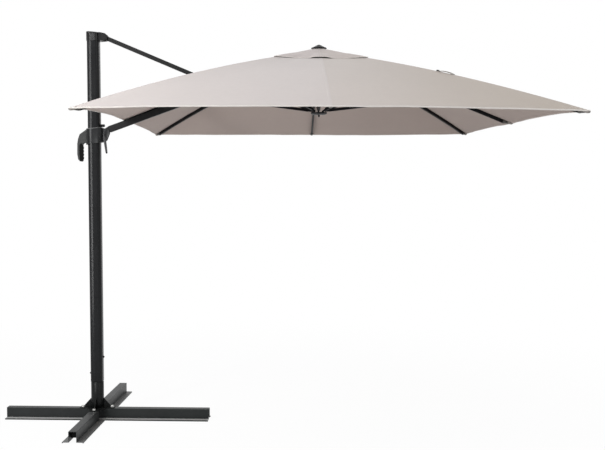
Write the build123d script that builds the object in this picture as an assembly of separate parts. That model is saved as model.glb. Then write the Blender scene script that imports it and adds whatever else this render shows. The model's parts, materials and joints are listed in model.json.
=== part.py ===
from build123d import *
import math
import os

# Cantilever parasol: a steel cross base with a round post, an aluminium mast that turns on the post,
# a carriage with a handle that slides on the mast, a straight arm and a strut that hold the crown,
# and an eight-ribbed rectangular canopy that folds as the carriage comes down.
# Millimetres. The origin is on the ground under the mast. +X runs along the arm, +Z is up.

# ---------------------------------------------------------------- driving dimensions
CANOPY_WIDTH = 2800.0          # along the arm
CANOPY_DEPTH = 3500.0          # across the arm
CROWN_X = 1608.0               # crown axis from the mast axis
HEM_Z = 2126.0                 # height of the canopy's corners
TIP_RISE = {                   # how much higher than that each rib's tip of cloth lies
    "arm_side": 40.0,
    "arm_near": 3.0,
    "near": 17.0,
    "outer_near": -6.0,
    "outer_side": 19.0,
    "outer_far": 15.0,
    "far": 7.0,
    "arm_far": 7.0,
}
RIB_PIVOT_Z = 2628.0
RIB_PIVOT_RADIUS = 55.0
RUNNER_DROP = 402.0            # from the rib pivots down to the runner's pivots
RUNNER_TRAVEL = 1660.0         # the same distance when the canopy is folded
RUNNER_PIVOT_RADIUS = 48.0
RIB_BOW_RADIUS = 18900.0       # the ribs are bent upwards to this radius
ARM_CORNER_BOW_RADIUS = 16500.0   # the two corner ribs on the arm's side are bent a little more
RIB_FOLDED_ANGLE = 3.5         # ribs from the vertical when folded
SIDE_FOOT_SLACK = 7.0          # how far the outer short stretcher's foot ends outside the runner
ARM_FOOT_SLACK = 17.0          # the same for the stretcher beside the arm, which passes the far one
BESIDE_ARM_OFFSET = 28.0       # the rib above the arm stands this far beside it

MAST_WIDTH = 88.0
MAST_CORNER = 28.0
MAST_WALL = 2.0
MAST_BOTTOM_Z = 274.0
MAST_TOP_Z = 2762.0
POST_DIAMETER = 81.0
POST_WALL = 3.0
POST_TOP_Z = 520.0
BUSH_HEIGHT = 26.0
LOCK_SCREW_Z = (333.0, 450.0)  # first on the handle's side, second on the arm's side
STOP_Z = 2120.0
STOP_REACH = 31.0              # how far the stop stands out of the mast

BEAM_LONG_ARM = 815.0
BEAM_SHORT_ARM = 660.0
BEAM_HEIGHT = 79.0
BEAM_TOP_WIDTH = 56.0
BEAM_FOOT_WIDTH = 142.0
FLANGE_HEIGHT = 9.0            # top of the flanges that carry the ballast slabs
BEAM_WALL = 3.0
BASE_TURN = -3.45              # the base stands turned under the arm by this angle
BASE_PLATE_SPAN = 250.0
BASE_PLATE_WIDTH = 60.0
BASE_PLATE_THICKNESS = 6.0
BASE_BOLT_RADIUS = 107.0
BASE_BOLT_DIAMETER = 12.0
GUSSET_REACH = 60.0
GUSSET_HEIGHT = 72.0
GUSSET_THICKNESS = 5.0

STRUT_PIVOT = (79.0, 2746.5)   # x, z of the strut's pin in the mast head
HEAD_OVERLAP = 41.0            # the head reaches down over the mast this far
STRUT_SLOPE = 0.4195           # the open strut falls this much per unit of reach
STRUT_HEIGHT = 30.0
STRUT_WIDTH = 20.0
ARM_SLOPE = 0.365              # the open arm rises this much per unit of reach
ARM_HEIGHT = 47.0
ARM_WIDTH = 30.0
ARM_CORNER = 5.0
ARM_WALL = 2.0
ARM_AXIS_Z = 2054.5            # height of the arm's centre line at the mast axis
STRUT_PIN_LIFT = 18.0          # strut's pin above the top of the arm
BRACKET_THICKNESS = 3.0
ARM_EYE_RADIUS = 14.0
ARM_FORK_LENGTH = 52.0         # from the end of the arm's tube to the crown's pin
FORK_THICKNESS = 4.0
FORK_EYE_RADIUS = 12.0
LUG_THICKNESS = 10.0
ARM_TUBE_START = 30.0          # from the carriage pivot along the arm
CROWN_LUG_REACH = 75.0         # from the crown axis back to the arm's end pin
ARM_END_Z = 2598.0
STRUT_FOLDED_ANGLE = 15.0      # strut from the vertical when folded

CARRIAGE_BOTTOM_Z = 1988.0
CARRIAGE_TOP_Z = 2099.0
CARRIAGE_LEFT = -56.0
CARRIAGE_RIGHT = 62.0
CARRIAGE_HALF_DEPTH = 54.0
CARRIAGE_CORNER = 34.0
LINER_THICKNESS = 2.6
EAR_THICKNESS = 8.0
HANDLE_WIDTH = 30.0
TRIGGER_WIDTH = 17.0
TRIGGER_PIVOT = (-92.0, 1988.0)
LEVER_PIVOT = (73.0, 2052.0)
LEVER_STUD_DIAMETER = 8.0
LEVER_THICKNESS = 5.0
LEVER_LENGTH = 121.0
LEVER_LEAN = 7.4               # degrees from the vertical, away from the mast
LEVER_BALL_DIAMETER = 14.0

RIB_HEIGHT = 25.0
RIB_WIDTH = 14.0
RIB_WALL = 1.5
RIB_TUBE_START = 27.0
TONGUE_THICKNESS = 7.0
STRETCHER_HEIGHT = 14.0
STRETCHER_WIDTH = 12.0
FOOT_THICKNESS = 4.0
FOOT_EYE_RADIUS = 6.0
FOOT_PIN_LENGTH = 12.0
SMALL_PIN_DIAMETER = 5.0
BRACKET_DROP = 22.0            # stretcher pin below the rib's centre line
MAIN_PIN_DIAMETER = 10.0

FABRIC_THICKNESS = 1.2
FABRIC_SEAT = 0.8              # fabric above the ribs
RIDGE_SEAT = 2.5               # more on the corner ribs, where the fabric bends over the tube
FABRIC_STATIONS = 8            # straight steps along each rib
MAIN_INNER_SHARE = 0.12        # the main sheet starts here, as a share of the way to its tip
VENT_SHARE = 0.227             # the vent flap ends here
VENT_LIFT = 7.0
VENT_TOP_Z = 2669.5
VENT_RING_RADIUS = 26.0
SLIT_LENGTH = 100.0            # opening for the strut in the sector beside the arm
SLIT_WIDTH = 36.0
SECTOR_GAP = 0.4

HUB_RADIUS = 72.0
HUB_HEIGHT = 28.0
CAP_DIAMETER = 114.0
CAP_BOTTOM_Z = 2671.0
CAP_TOP_Z = 2703.0
CAP_STEM_DIAMETER = 16.0
CAP_FLUTES = 16
RUNNER_DIAMETER = 117.0
RUNNER_TOP_DROP = 9.5          # the runner's flat top below its pivots
RUNNER_DISH_DROP = 20.0        # the floor of its dish below its pivots, where the open feet dip
RUNNER_RIM_WIDTH = 8.0
RUNNER_NOTCH_WIDTH = 16.0      # gap in the rim for the foot beside the arm
RUNNER_STEM_REACH = 4.5        # how far the ball's stem goes into the runner
RUNNER_BOTTOM_Z = 2200.0
RUNNER_BALL_Z = 2191.0
RUNNER_BALL_DIAMETER = 14.0

RUN = 0.05                     # radial clearance of a pin that turns in its bore
CLEAR = 0.3                    # gap between pieces that move past each other
SIDE_CLEAR = 0.5               # gap at the sides of a tongue between cheeks

# ---------------------------------------------------------------- sizes that follow
HALF_WIDTH = CANOPY_WIDTH / 2
HALF_DEPTH = CANOPY_DEPTH / 2
STRUT_ANGLE = math.degrees(math.atan(STRUT_SLOPE))
ARM_ANGLE = math.degrees(math.atan(ARM_SLOPE))


def strut_arm_pin():
    """The x and z of the pin that joins the strut to the bracket on top of the arm."""
    lift = (ARM_HEIGHT / 2 + STRUT_PIN_LIFT) / math.cos(math.radians(ARM_ANGLE))
    rise = STRUT_PIVOT[1] + STRUT_SLOPE * STRUT_PIVOT[0] - ARM_AXIS_Z - lift
    x = rise / (STRUT_SLOPE + ARM_SLOPE)
    return x, ARM_AXIS_Z + lift + ARM_SLOPE * x


JUNCTION = strut_arm_pin()
CARRIAGE_PIVOT = (STRUT_PIVOT[0], 2 * JUNCTION[1] - STRUT_PIVOT[1])
ARM_END = (CROWN_X - CROWN_LUG_REACH, ARM_END_Z)
STRUT_LENGTH = math.dist(STRUT_PIVOT, JUNCTION)
FOLD_DEGREES = 90 - STRUT_ANGLE - STRUT_FOLDED_ANGLE
BORE_EXTRA = 2 * RUN


class Rib:
    """One rib: its place at the crown, its tip, and the stretcher that holds it to the runner."""

    def __init__(self, name, side_x, side_y, offset_y=0.0, slack=0.0, bow=RIB_BOW_RADIUS):
        self.name = name
        self.offset_y = offset_y
        reach_x = side_x * HALF_WIDTH
        reach_y = side_y * HALF_DEPTH
        self.reach = math.hypot(reach_x, reach_y)
        self.azimuth = math.degrees(math.atan2(reach_y, reach_x))
        self.tip_z = HEM_Z + TIP_RISE[name]
        self.slack = slack
        self.seat = FABRIC_SEAT + (RIDGE_SEAT if side_x * side_y else 0.0)
        self.end_radius = self.reach - 14
        self.end_z = self.tip_z - RIB_HEIGHT / 2 - self.seat - 1
        run = self.end_radius - RIB_PIVOT_RADIUS
        fall = RIB_PIVOT_Z - self.end_z
        self.length = math.hypot(run, fall)
        self.open_angle = math.degrees(math.atan2(run, fall))
        self.bow = self.length ** 2 / (8 * bow)
        self.solve_stretcher()

    def solve_stretcher(self):
        """Place the stretcher's pin so that its foot meets the runner open and folded."""
        self.pin_along = self.length * 0.5
        for _ in range(30):
            self.pin_above = self.bow_at(self.pin_along) - BRACKET_DROP
            self.pin_tilt = math.degrees(math.atan2(self.pin_above, self.pin_along))
            self.pin_distance = self.solve_pin_distance()
            self.pin_along = self.pin_distance * math.cos(math.radians(self.pin_tilt))
        self.pin_open = self.pin_place(self.open_angle)
        pin_folded = self.pin_place(RIB_FOLDED_ANGLE)
        self.foot_open = (RUNNER_PIVOT_RADIUS, RIB_PIVOT_Z - RUNNER_DROP)
        foot_folded = (RUNNER_PIVOT_RADIUS + self.slack, RIB_PIVOT_Z - RUNNER_TRAVEL)
        self.stretcher_length = math.dist(self.pin_open, self.foot_open)
        self.stretcher_angle = self.below_horizontal(self.pin_open, self.foot_open)
        folded_angle = self.below_horizontal(pin_folded, foot_folded)
        rib_turn = self.open_angle - RIB_FOLDED_ANGLE
        self.rib_ratio = rib_turn / FOLD_DEGREES
        own_turn = (self.stretcher_angle - folded_angle) - rib_turn
        self.stretcher_ratio = own_turn / FOLD_DEGREES
        self.level_ratio = -(self.rib_ratio + self.stretcher_ratio)

    def bow_at(self, along):
        """How far the rib's centre line stands above its chord."""
        part = along / self.length
        return 4 * self.bow * part * (1 - part)

    def solve_pin_distance(self):
        """Distance from the rib's pivot to the stretcher's pin, from the two ends of the fold."""
        opened = math.radians(self.open_angle + self.pin_tilt)
        folded = math.radians(RIB_FOLDED_ANGLE + self.pin_tilt)
        shift_open = RIB_PIVOT_RADIUS - RUNNER_PIVOT_RADIUS
        shift_folded = shift_open - self.slack
        gain = (shift_folded ** 2 + RUNNER_TRAVEL ** 2) - (shift_open ** 2 + RUNNER_DROP ** 2)
        reach_open = shift_open * math.sin(opened) - RUNNER_DROP * math.cos(opened)
        reach_folded = shift_folded * math.sin(folded) - RUNNER_TRAVEL * math.cos(folded)
        return gain / (2 * (reach_open - reach_folded))

    def pin_place(self, angle):
        """The radius and height of the stretcher's pin with the rib at this angle."""
        turn = math.radians(angle + self.pin_tilt)
        radius = RIB_PIVOT_RADIUS + self.pin_distance * math.sin(turn)
        return radius, RIB_PIVOT_Z - self.pin_distance * math.cos(turn)

    @staticmethod
    def below_horizontal(start, end):
        """Angle of the line from start to end, below the inward horizontal, in degrees."""
        return math.degrees(math.atan2(start[1] - end[1], start[0] - end[0]))

    def point(self, radius, z):
        """A point of the rib's own vertical plane, in the parasol's frame."""
        turn = math.radians(self.azimuth)
        return (
            CROWN_X + radius * math.cos(turn),
            self.offset_y + radius * math.sin(turn),
            z,
        )

    def frame(self, radius, z, angle_below):
        """A place at (radius, z) whose x runs outwards and down by this angle."""
        return Pos(*self.point(radius, z)) * Rot(0, 0, self.azimuth) * Rot(0, angle_below, 0)

    def cloth_point(self, share):
        """The underside of the cloth on this rib, at a share of the way from crown to tip."""
        radius = share * self.reach
        turn = math.radians(self.open_angle)
        along = (radius - RIB_PIVOT_RADIUS) / math.sin(turn)
        for _ in range(4):
            above = self.bow_at(along) + RIB_HEIGHT / 2 + self.seat
            along = (radius - RIB_PIVOT_RADIUS - above * math.cos(turn)) / math.sin(turn)
        return self.point(radius, RIB_PIVOT_Z - along * math.cos(turn) + above * math.sin(turn))


RIBS = [
    Rib("arm_side", -1, 0, offset_y=BESIDE_ARM_OFFSET, slack=ARM_FOOT_SLACK),
    Rib("arm_near", -1, -1, bow=ARM_CORNER_BOW_RADIUS),
    Rib("near", 0, -1),
    Rib("outer_near", 1, -1),
    Rib("outer_side", 1, 0, slack=SIDE_FOOT_SLACK),
    Rib("outer_far", 1, 1),
    Rib("far", 0, 1),
    Rib("arm_far", -1, 1, bow=ARM_CORNER_BOW_RADIUS),
]
RUNNER_CARRIER = "outer_far"   # the runner hangs on this rib's stretcher


# ---------------------------------------------------------------- small tools
def outline_xz(points, y_low, y_high, radius=0.0):
    """A slab whose outline is drawn in x and z, between two values of y."""
    face = make_face(Polyline(*[(x, y_low, z) for x, z in points], close=True))
    if radius:
        face = fillet(face.vertices(), radius)
    return extrude(face, amount=y_high - y_low, dir=(0, 1, 0))


def block(x_low, x_high, y_low, y_high, z_low, z_high):
    """A box between six planes."""
    centre = ((x_low + x_high) / 2, (y_low + y_high) / 2, (z_low + z_high) / 2)
    return Pos(*centre) * Box(x_high - x_low, y_high - y_low, z_high - z_low)


def rod_y(x, z, diameter, y_low, y_high):
    """A round bar along y."""
    turned = Pos(x, (y_low + y_high) / 2, z) * Rot(90, 0, 0)
    return turned * Cylinder(diameter / 2, y_high - y_low)


def rod_z(x, y, diameter, z_low, z_high):
    """A round bar along z."""
    return Pos(x, y, (z_low + z_high) / 2) * Cylinder(diameter / 2, z_high - z_low)


def rod_x(y, z, diameter, x_low, x_high):
    """A round bar along x."""
    turned = Pos((x_low + x_high) / 2, y, z) * Rot(0, 90, 0)
    return turned * Cylinder(diameter / 2, x_high - x_low)


def square_bar(width, corner, z_low, z_high):
    """An upright bar with a rounded square section, centred on the mast axis."""
    return Pos(0, 0, z_low) * extrude(RectangleRounded(width, width, corner), z_high - z_low)


def sheet_outline(points, thickness):
    """Close a line of points into a strip of this thickness, on the line's right-hand side."""
    directions = []
    for (x0, y0), (x1, y1) in zip(points, points[1:]):
        length = math.hypot(x1 - x0, y1 - y0)
        directions.append(((x1 - x0) / length, (y1 - y0) / length))
    inner = []
    for index, (x, y) in enumerate(points):
        before = directions[max(index - 1, 0)]
        after = directions[min(index, len(directions) - 1)]
        normal_x = before[1] + after[1]
        normal_y = -(before[0] + after[0])
        scale = thickness * 2 / (normal_x ** 2 + normal_y ** 2)
        inner.append((x + normal_x * scale, y + normal_y * scale))
    return points + inner[::-1]


def cloth_solid(rows, thickness):
    """A closed sheet over rows of three points, thickened upwards."""
    upper = [[(x, y, z + thickness) for x, y, z in row] for row in rows]
    faces = []
    for a, b, ua, ub in zip(rows, rows[1:], upper, upper[1:]):
        for k in range(2):
            faces.append((a[k], a[k + 1], b[k + 1]))
            faces.append((a[k], b[k + 1], b[k]))
            faces.append((ua[k], ub[k + 1], ua[k + 1]))
            faces.append((ua[k], ub[k], ub[k + 1]))
        for k in (0, 2):
            faces.append((a[k], b[k], ub[k], ua[k]))
    for row, top in ((rows[0], upper[0]), (rows[-1], upper[-1])):
        for k in range(2):
            faces.append((row[k], row[k + 1], top[k + 1], top[k]))
    shell = Shell([Face(Wire.make_polygon(corners)) for corners in faces])
    return Solid(shell)


PARTS = {}


def keep(name, *solids):
    """File one node: a single piece, or a group of like pieces."""
    PARTS[name] = solids[0] if len(solids) == 1 else Compound(children=list(solids))


# ---------------------------------------------------------------- base
def beam_half_profile():
    """Outer line of half the folded steel section, from its lip on the ground to its top."""
    foot = BEAM_FOOT_WIDTH / 2
    top = BEAM_TOP_WIDTH / 2
    return [(-foot, 0), (-foot, FLANGE_HEIGHT), (-top, FLANGE_HEIGHT), (-top, BEAM_HEIGHT)]


def beam(short_arm, long_arm):
    """An open hat-section beam along x."""
    half = beam_half_profile()
    line = half + [(-x, z) for x, z in reversed(half)]
    outline = [(y, z) for y, z in sheet_outline(line, BEAM_WALL)]
    face = make_face(Polyline(*[(-short_arm, y, z) for y, z in outline], close=True))
    face = fillet(face.vertices(), 1.2)
    return extrude(face, amount=short_arm + long_arm, dir=(1, 0, 0))


def base_bolt_places():
    """The four bolts of the base plate, before the base is turned."""
    r = BASE_BOLT_RADIUS
    return [(r, 0), (0, r), (-r, 0), (0, -r)]


def build_base():
    """Cross base: two halved beams, base plate, gussets, post and bolts."""
    turn = Rot(0, 0, BASE_TURN)
    strap = BEAM_TOP_WIDTH / 2 + CLEAR
    side_beam = beam(BEAM_SHORT_ARM, BEAM_LONG_ARM)
    depth_beam = Rot(0, 0, 90) * beam(BEAM_SHORT_ARM, BEAM_LONG_ARM)
    top_under = BEAM_HEIGHT - BEAM_WALL - CLEAR
    side_beam -= block(-strap, strap, -100, 100, top_under, BEAM_HEIGHT + 1)
    foot = BEAM_FOOT_WIDTH / 2 + CLEAR
    depth_beam -= block(-100, 100, -foot, foot, -1, BEAM_HEIGHT - BEAM_WALL)
    plate_low = BEAM_HEIGHT
    plate_high = plate_low + BASE_PLATE_THICKNESS
    span = BASE_PLATE_SPAN / 2
    half = BASE_PLATE_WIDTH / 2
    plate = block(-span, span, -half, half, plate_low, plate_high)
    plate += block(-half, half, -span, span, plate_low, plate_high)
    round_plate = extrude(Pos(0, 0, plate_low) * RectangleRounded(130, 130, 12), BASE_PLATE_THICKNESS)
    plate += round_plate
    bolts = []
    nuts = []
    hole = BASE_BOLT_DIAMETER + 1
    for x, y in base_bolt_places():
        bore = rod_z(x, y, hole, 0, plate_high + 1)
        plate -= bore
        side_beam -= bore
        depth_beam -= bore
        washer_low = plate_high
        bolt = rod_z(x, y, 24, washer_low, washer_low + 2.5)
        head = extrude(Pos(x, y, washer_low + 2.5) * RegularPolygon(10.4, 6), 7.5)
        bolt += head
        bolt += rod_z(x, y, BASE_BOLT_DIAMETER, BEAM_HEIGHT - 22, washer_low)
        bolts.append(turn * bolt)
        nut = extrude(Pos(x, y, BEAM_HEIGHT - BEAM_WALL - 10) * RegularPolygon(10.4, 6), 10)
        nut -= rod_z(x, y, BASE_BOLT_DIAMETER + BORE_EXTRA, 0, BEAM_HEIGHT)
        nuts.append(turn * nut)
    gussets = []
    inner = POST_DIAMETER / 2
    for quarter in range(4):
        corner = [(inner, plate_high), (inner + GUSSET_REACH, plate_high)]
        corner += [(inner + GUSSET_REACH, plate_high + 6), (inner, plate_high + GUSSET_HEIGHT)]
        thick = GUSSET_THICKNESS / 2
        gusset = outline_xz(corner, -thick, thick)
        gusset -= rod_z(BASE_BOLT_RADIUS, 0, 26, plate_high, plate_high + GUSSET_HEIGHT)
        gusset -= rod_z(0, 0, POST_DIAMETER, plate_high, plate_high + GUSSET_HEIGHT + 1)
        gussets.append(Rot(0, 0, BASE_TURN + 90 * quarter) * gusset)
    post = rod_z(0, 0, POST_DIAMETER, plate_high, POST_TOP_Z)
    post -= rod_z(0, 0, POST_DIAMETER - 2 * POST_WALL, plate_high, POST_TOP_Z)
    keep("base_beam_side", turn * side_beam)
    keep("base_beam_depth", turn * depth_beam)
    keep("base_plate", turn * plate)
    keep("base_gussets", *gussets)
    keep("base_post", post)
    keep("base_bolts", *bolts)
    keep("base_nuts", *nuts)


# ---------------------------------------------------------------- mast
def build_mast():
    """Mast extrusion, its bushes on the post, lock screws, carriage stop and head."""
    mast = square_bar(MAST_WIDTH, MAST_CORNER, MAST_BOTTOM_Z, MAST_TOP_Z)
    bore_width = MAST_WIDTH - 2 * MAST_WALL
    bore_corner = MAST_CORNER - MAST_WALL
    mast -= square_bar(bore_width, bore_corner, MAST_BOTTOM_Z, MAST_TOP_Z)
    screws = []
    for side, z in zip((-1, 1), LOCK_SCREW_Z):
        face = side * MAST_WIDTH / 2
        tip = side * (POST_DIAMETER / 2 + CLEAR)
        mast -= rod_x(0, z, 8 + BORE_EXTRA, *sorted((face + side, side * 30)))
        screw = rod_x(0, z, 8, *sorted((tip, face)))
        screw += rod_x(0, z, 15, *sorted((face, face + side * 6)))
        screw += rod_x(0, z, 10, *sorted((face + side * 6, face + side * 9)))
        screws.append(screw)
    bushes = []
    for low in (MAST_BOTTOM_Z, POST_TOP_Z - BUSH_HEIGHT):
        bush = square_bar(bore_width, bore_corner, low, low + BUSH_HEIGHT)
        bush -= rod_z(0, 0, POST_DIAMETER + BORE_EXTRA, low, low + BUSH_HEIGHT)
        bushes.append(bush)
    face = MAST_WIDTH / 2
    stop = rod_x(0, STOP_Z, 20, face, face + STOP_REACH - 6)
    stop += Pos(face + STOP_REACH - 6, 0, STOP_Z) * scale(Sphere(10), (0.6, 1, 1))
    keep("mast", mast)
    keep("mast_bushes", *bushes)
    keep("mast_lock_screws", *screws)
    keep("mast_stop", stop)
    build_mast_head(bore_width, bore_corner)


def build_mast_head(bore_width, bore_corner):
    """Cast head on top of the mast with a forked nose for the strut, its lid and its pin."""
    px, pz = STRUT_PIVOT
    low = MAST_TOP_Z - HEAD_OVERLAP
    collar = MAST_WIDTH + 8
    head = square_bar(collar, MAST_CORNER + 4, low, MAST_TOP_Z + 8)
    head -= square_bar(MAST_WIDTH, MAST_CORNER, low - 1, MAST_TOP_Z)
    half_fork = STRUT_WIDTH / 2 + SIDE_CLEAR + 8
    nose = [(20, low), (px, low - 3), (px + 20, low), (px + 27, low + 20)]
    nose += [(px + 22, low + 36), (px + 10, low + 49), (20, low + 49)]
    nose_solid = outline_xz(nose, -half_fork, half_fork, 4)
    nose_solid -= square_bar(MAST_WIDTH, MAST_CORNER, low - 18, MAST_TOP_Z)
    head += nose_solid
    gap = STRUT_WIDTH / 2 + SIDE_CLEAR
    throat = [(px - 19, pz - 60), (px + 60, pz - 60), (px + 60, pz + 10)]
    throat += [(px + 16, pz + 19), (px - 12, pz + 19), (px - 19, pz + 10)]
    head -= outline_xz(throat, -gap, gap)
    head -= rod_y(px, pz, MAIN_PIN_DIAMETER, -half_fork - 1, half_fork + 1)
    lid_low = MAST_TOP_Z + 8
    lid = square_bar(collar, MAST_CORNER + 4, lid_low, lid_low + 16)
    beak = [(20, lid_low), (px + 10, lid_low), (px + 4, lid_low + 6), (20, lid_low + 16)]
    lid += outline_xz(beak, -half_fork, half_fork)
    slope = [(-80, lid_low + 17), (140, lid_low + 17), (140, lid_low + 1), (90, lid_low + 4)]
    slope += [(-30, lid_low + 15), (-80, lid_low + 12)]
    lid -= outline_xz(slope, -80, 80)
    pin = rod_y(px, pz, MAIN_PIN_DIAMETER, -half_fork, half_fork)
    for side in (-1, 1):
        pin += rod_y(px, pz, 18, *sorted((side * half_fork, side * (half_fork + 4))))
    keep("mast_head", head)
    keep("mast_head_lid", lid)
    keep("strut_head_pin", pin)


# ---------------------------------------------------------------- strut and arm
def build_strut():
    """Flat rectangular tube from the mast head to the arm, with a bushed eye at each end."""
    place = Pos(STRUT_PIVOT[0], 0, STRUT_PIVOT[1]) * Rot(0, STRUT_ANGLE, 0)
    half = STRUT_HEIGHT / 2
    wide = STRUT_WIDTH / 2
    bar = block(0, STRUT_LENGTH, -wide, wide, -half, half)
    bar += rod_y(0, 0, STRUT_HEIGHT, -wide, wide)
    bar += rod_y(STRUT_LENGTH, 0, STRUT_HEIGHT, -wide, wide)
    bar -= block(30, STRUT_LENGTH - 30, -wide + 2, wide - 2, -half + 2, half - 2)
    bore = MAIN_PIN_DIAMETER + BORE_EXTRA
    for u in (0, STRUT_LENGTH):
        bar -= rod_y(u, 0, bore, -wide - 1, wide + 1)
    keep("strut", place * bar)


def arm_offset():
    """How far the arm's centre line passes above the carriage pivot, square to the arm."""
    cx, cz = CARRIAGE_PIVOT
    return (ARM_AXIS_Z + ARM_SLOPE * cx - cz) * math.cos(math.radians(ARM_ANGLE))


def arm_place():
    """Frame on the arm's centre line, at the foot of the perpendicular from the carriage pivot."""
    cx, cz = CARRIAGE_PIVOT
    turn = math.radians(ARM_ANGLE)
    off = arm_offset()
    return Pos(cx - off * math.sin(turn), 0, cz + off * math.cos(turn)) * Rot(0, -ARM_ANGLE, 0)


def along_arm(point):
    """Distance of an (x, z) point along the arm and above the arm's centre line."""
    turn = math.radians(ARM_ANGLE)
    dx = point[0] - CARRIAGE_PIVOT[0]
    dz = point[1] - CARRIAGE_PIVOT[1]
    along = dx * math.cos(turn) + dz * math.sin(turn)
    above = -dx * math.sin(turn) + dz * math.cos(turn)
    return along, above - arm_offset()


def arm_section(start, end, less=0.0):
    """A bar along x with the arm's rounded section, smaller all round by this much."""
    width = ARM_WIDTH - 2 * less
    section = Plane.YZ * RectangleRounded(width, ARM_HEIGHT - 2 * less, ARM_CORNER - less)
    return Pos(start, 0, 0) * extrude(section, end - start)


def build_arm():
    """Arm tube, root eye, bracket for the strut, end fork and the two pins."""
    place = arm_place()
    end_u, end_v = along_arm(ARM_END)
    tube_end = end_u - ARM_FORK_LENGTH
    tube = arm_section(ARM_TUBE_START, tube_end)
    tube -= arm_section(ARM_TUBE_START, tube_end, ARM_WALL)
    keep("arm", place * tube)
    keep("arm_root", place * arm_root())
    keep("arm_strut_bracket", place * strut_bracket())
    pin_u, pin_v = along_arm(JUNCTION)
    cheek_out = STRUT_WIDTH / 2 + CLEAR + BRACKET_THICKNESS
    keep("arm_strut_pin", place * rod_y(pin_u, pin_v, MAIN_PIN_DIAMETER, -cheek_out, cheek_out))
    keep("arm_end_fork", place * end_fork(tube_end, end_u, end_v))
    fork_out = LUG_THICKNESS / 2 + CLEAR + FORK_THICKNESS
    pin = rod_y(end_u, end_v, MAIN_PIN_DIAMETER, -fork_out, fork_out)
    for side in (-1, 1):
        pin += rod_y(end_u, end_v, 16, *sorted((side * fork_out, side * (fork_out + 3))))
    keep("arm_end_pin", place * pin)


def arm_root():
    """Eye that turns on the carriage's pin, with a plug in the arm's lower end."""
    eye_v = -arm_offset()
    wide = ARM_WIDTH / 2
    plug_half = ARM_HEIGHT / 2 - ARM_WALL
    root = arm_section(ARM_TUBE_START, ARM_TUBE_START + 55, ARM_WALL)
    neck = [(0, eye_v - ARM_EYE_RADIUS), (ARM_TUBE_START, -plug_half)]
    neck += [(ARM_TUBE_START, plug_half), (0, eye_v + ARM_EYE_RADIUS)]
    root += outline_xz(neck, -wide, wide)
    root += rod_y(0, eye_v, 2 * ARM_EYE_RADIUS, -wide, wide)
    root -= rod_y(0, eye_v, MAIN_PIN_DIAMETER + BORE_EXTRA, -wide - 1, wide + 1)
    return root


def strut_bracket():
    """Channel on top of the arm whose two cheeks hold the strut's pin."""
    pin_u, pin_v = along_arm(JUNCTION)
    low = ARM_HEIGHT / 2
    gap = STRUT_WIDTH / 2 + CLEAR
    out = gap + BRACKET_THICKNESS
    outline = [(pin_u - 36, low), (pin_u + 36, low), (pin_u + 12, pin_v + 11)]
    outline += [(pin_u - 12, pin_v + 11)]
    floor = low + 2.2
    channel = outline_xz(outline, -out, out)
    channel -= block(pin_u - 60, pin_u + 60, -gap, gap, floor, pin_v + 30)
    channel -= rod_y(pin_u, pin_v, MAIN_PIN_DIAMETER, -out - 1, out + 1)
    return channel


def end_fork(tube_end, end_u, end_v):
    """Plug and two plates that hold the crown's lug."""
    gap = LUG_THICKNESS / 2 + CLEAR
    out = gap + FORK_THICKNESS
    half = ARM_HEIGHT / 2
    radius = FORK_EYE_RADIUS
    fork = arm_section(tube_end - 45, tube_end, ARM_WALL)
    fork += arm_section(tube_end, tube_end + 4)
    plate = [(tube_end + 2, -half), (end_u, end_v - radius), (end_u, end_v + radius)]
    plate += [(tube_end + 12, half - 2), (tube_end + 2, half)]
    plates = outline_xz(plate, -out, out)
    plates += rod_y(end_u, end_v, 2 * radius, -out, out)
    plates -= block(tube_end + 16, end_u + 40, -gap, gap, -80, 80)
    fork += plates
    fork -= rod_y(end_u, end_v, MAIN_PIN_DIAMETER, -out - 1, out + 1)
    return fork


# ---------------------------------------------------------------- carriage
def carriage_plan(z_low, z_high):
    """The carriage's outer plan as an upright bar."""
    length = CARRIAGE_RIGHT - CARRIAGE_LEFT
    middle = (CARRIAGE_RIGHT + CARRIAGE_LEFT) / 2
    plan = RectangleRounded(length, 2 * CARRIAGE_HALF_DEPTH, CARRIAGE_CORNER)
    return Pos(middle, 0, z_low) * extrude(plan, z_high - z_low)


def carriage_screw_places():
    """x and z of the screws that hold the two shells together."""
    left = CARRIAGE_LEFT + 4.5
    right = CARRIAGE_RIGHT - 7
    return [(left, 2014), (left, 2078), (right, 2018), (right, 2088)]


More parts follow.
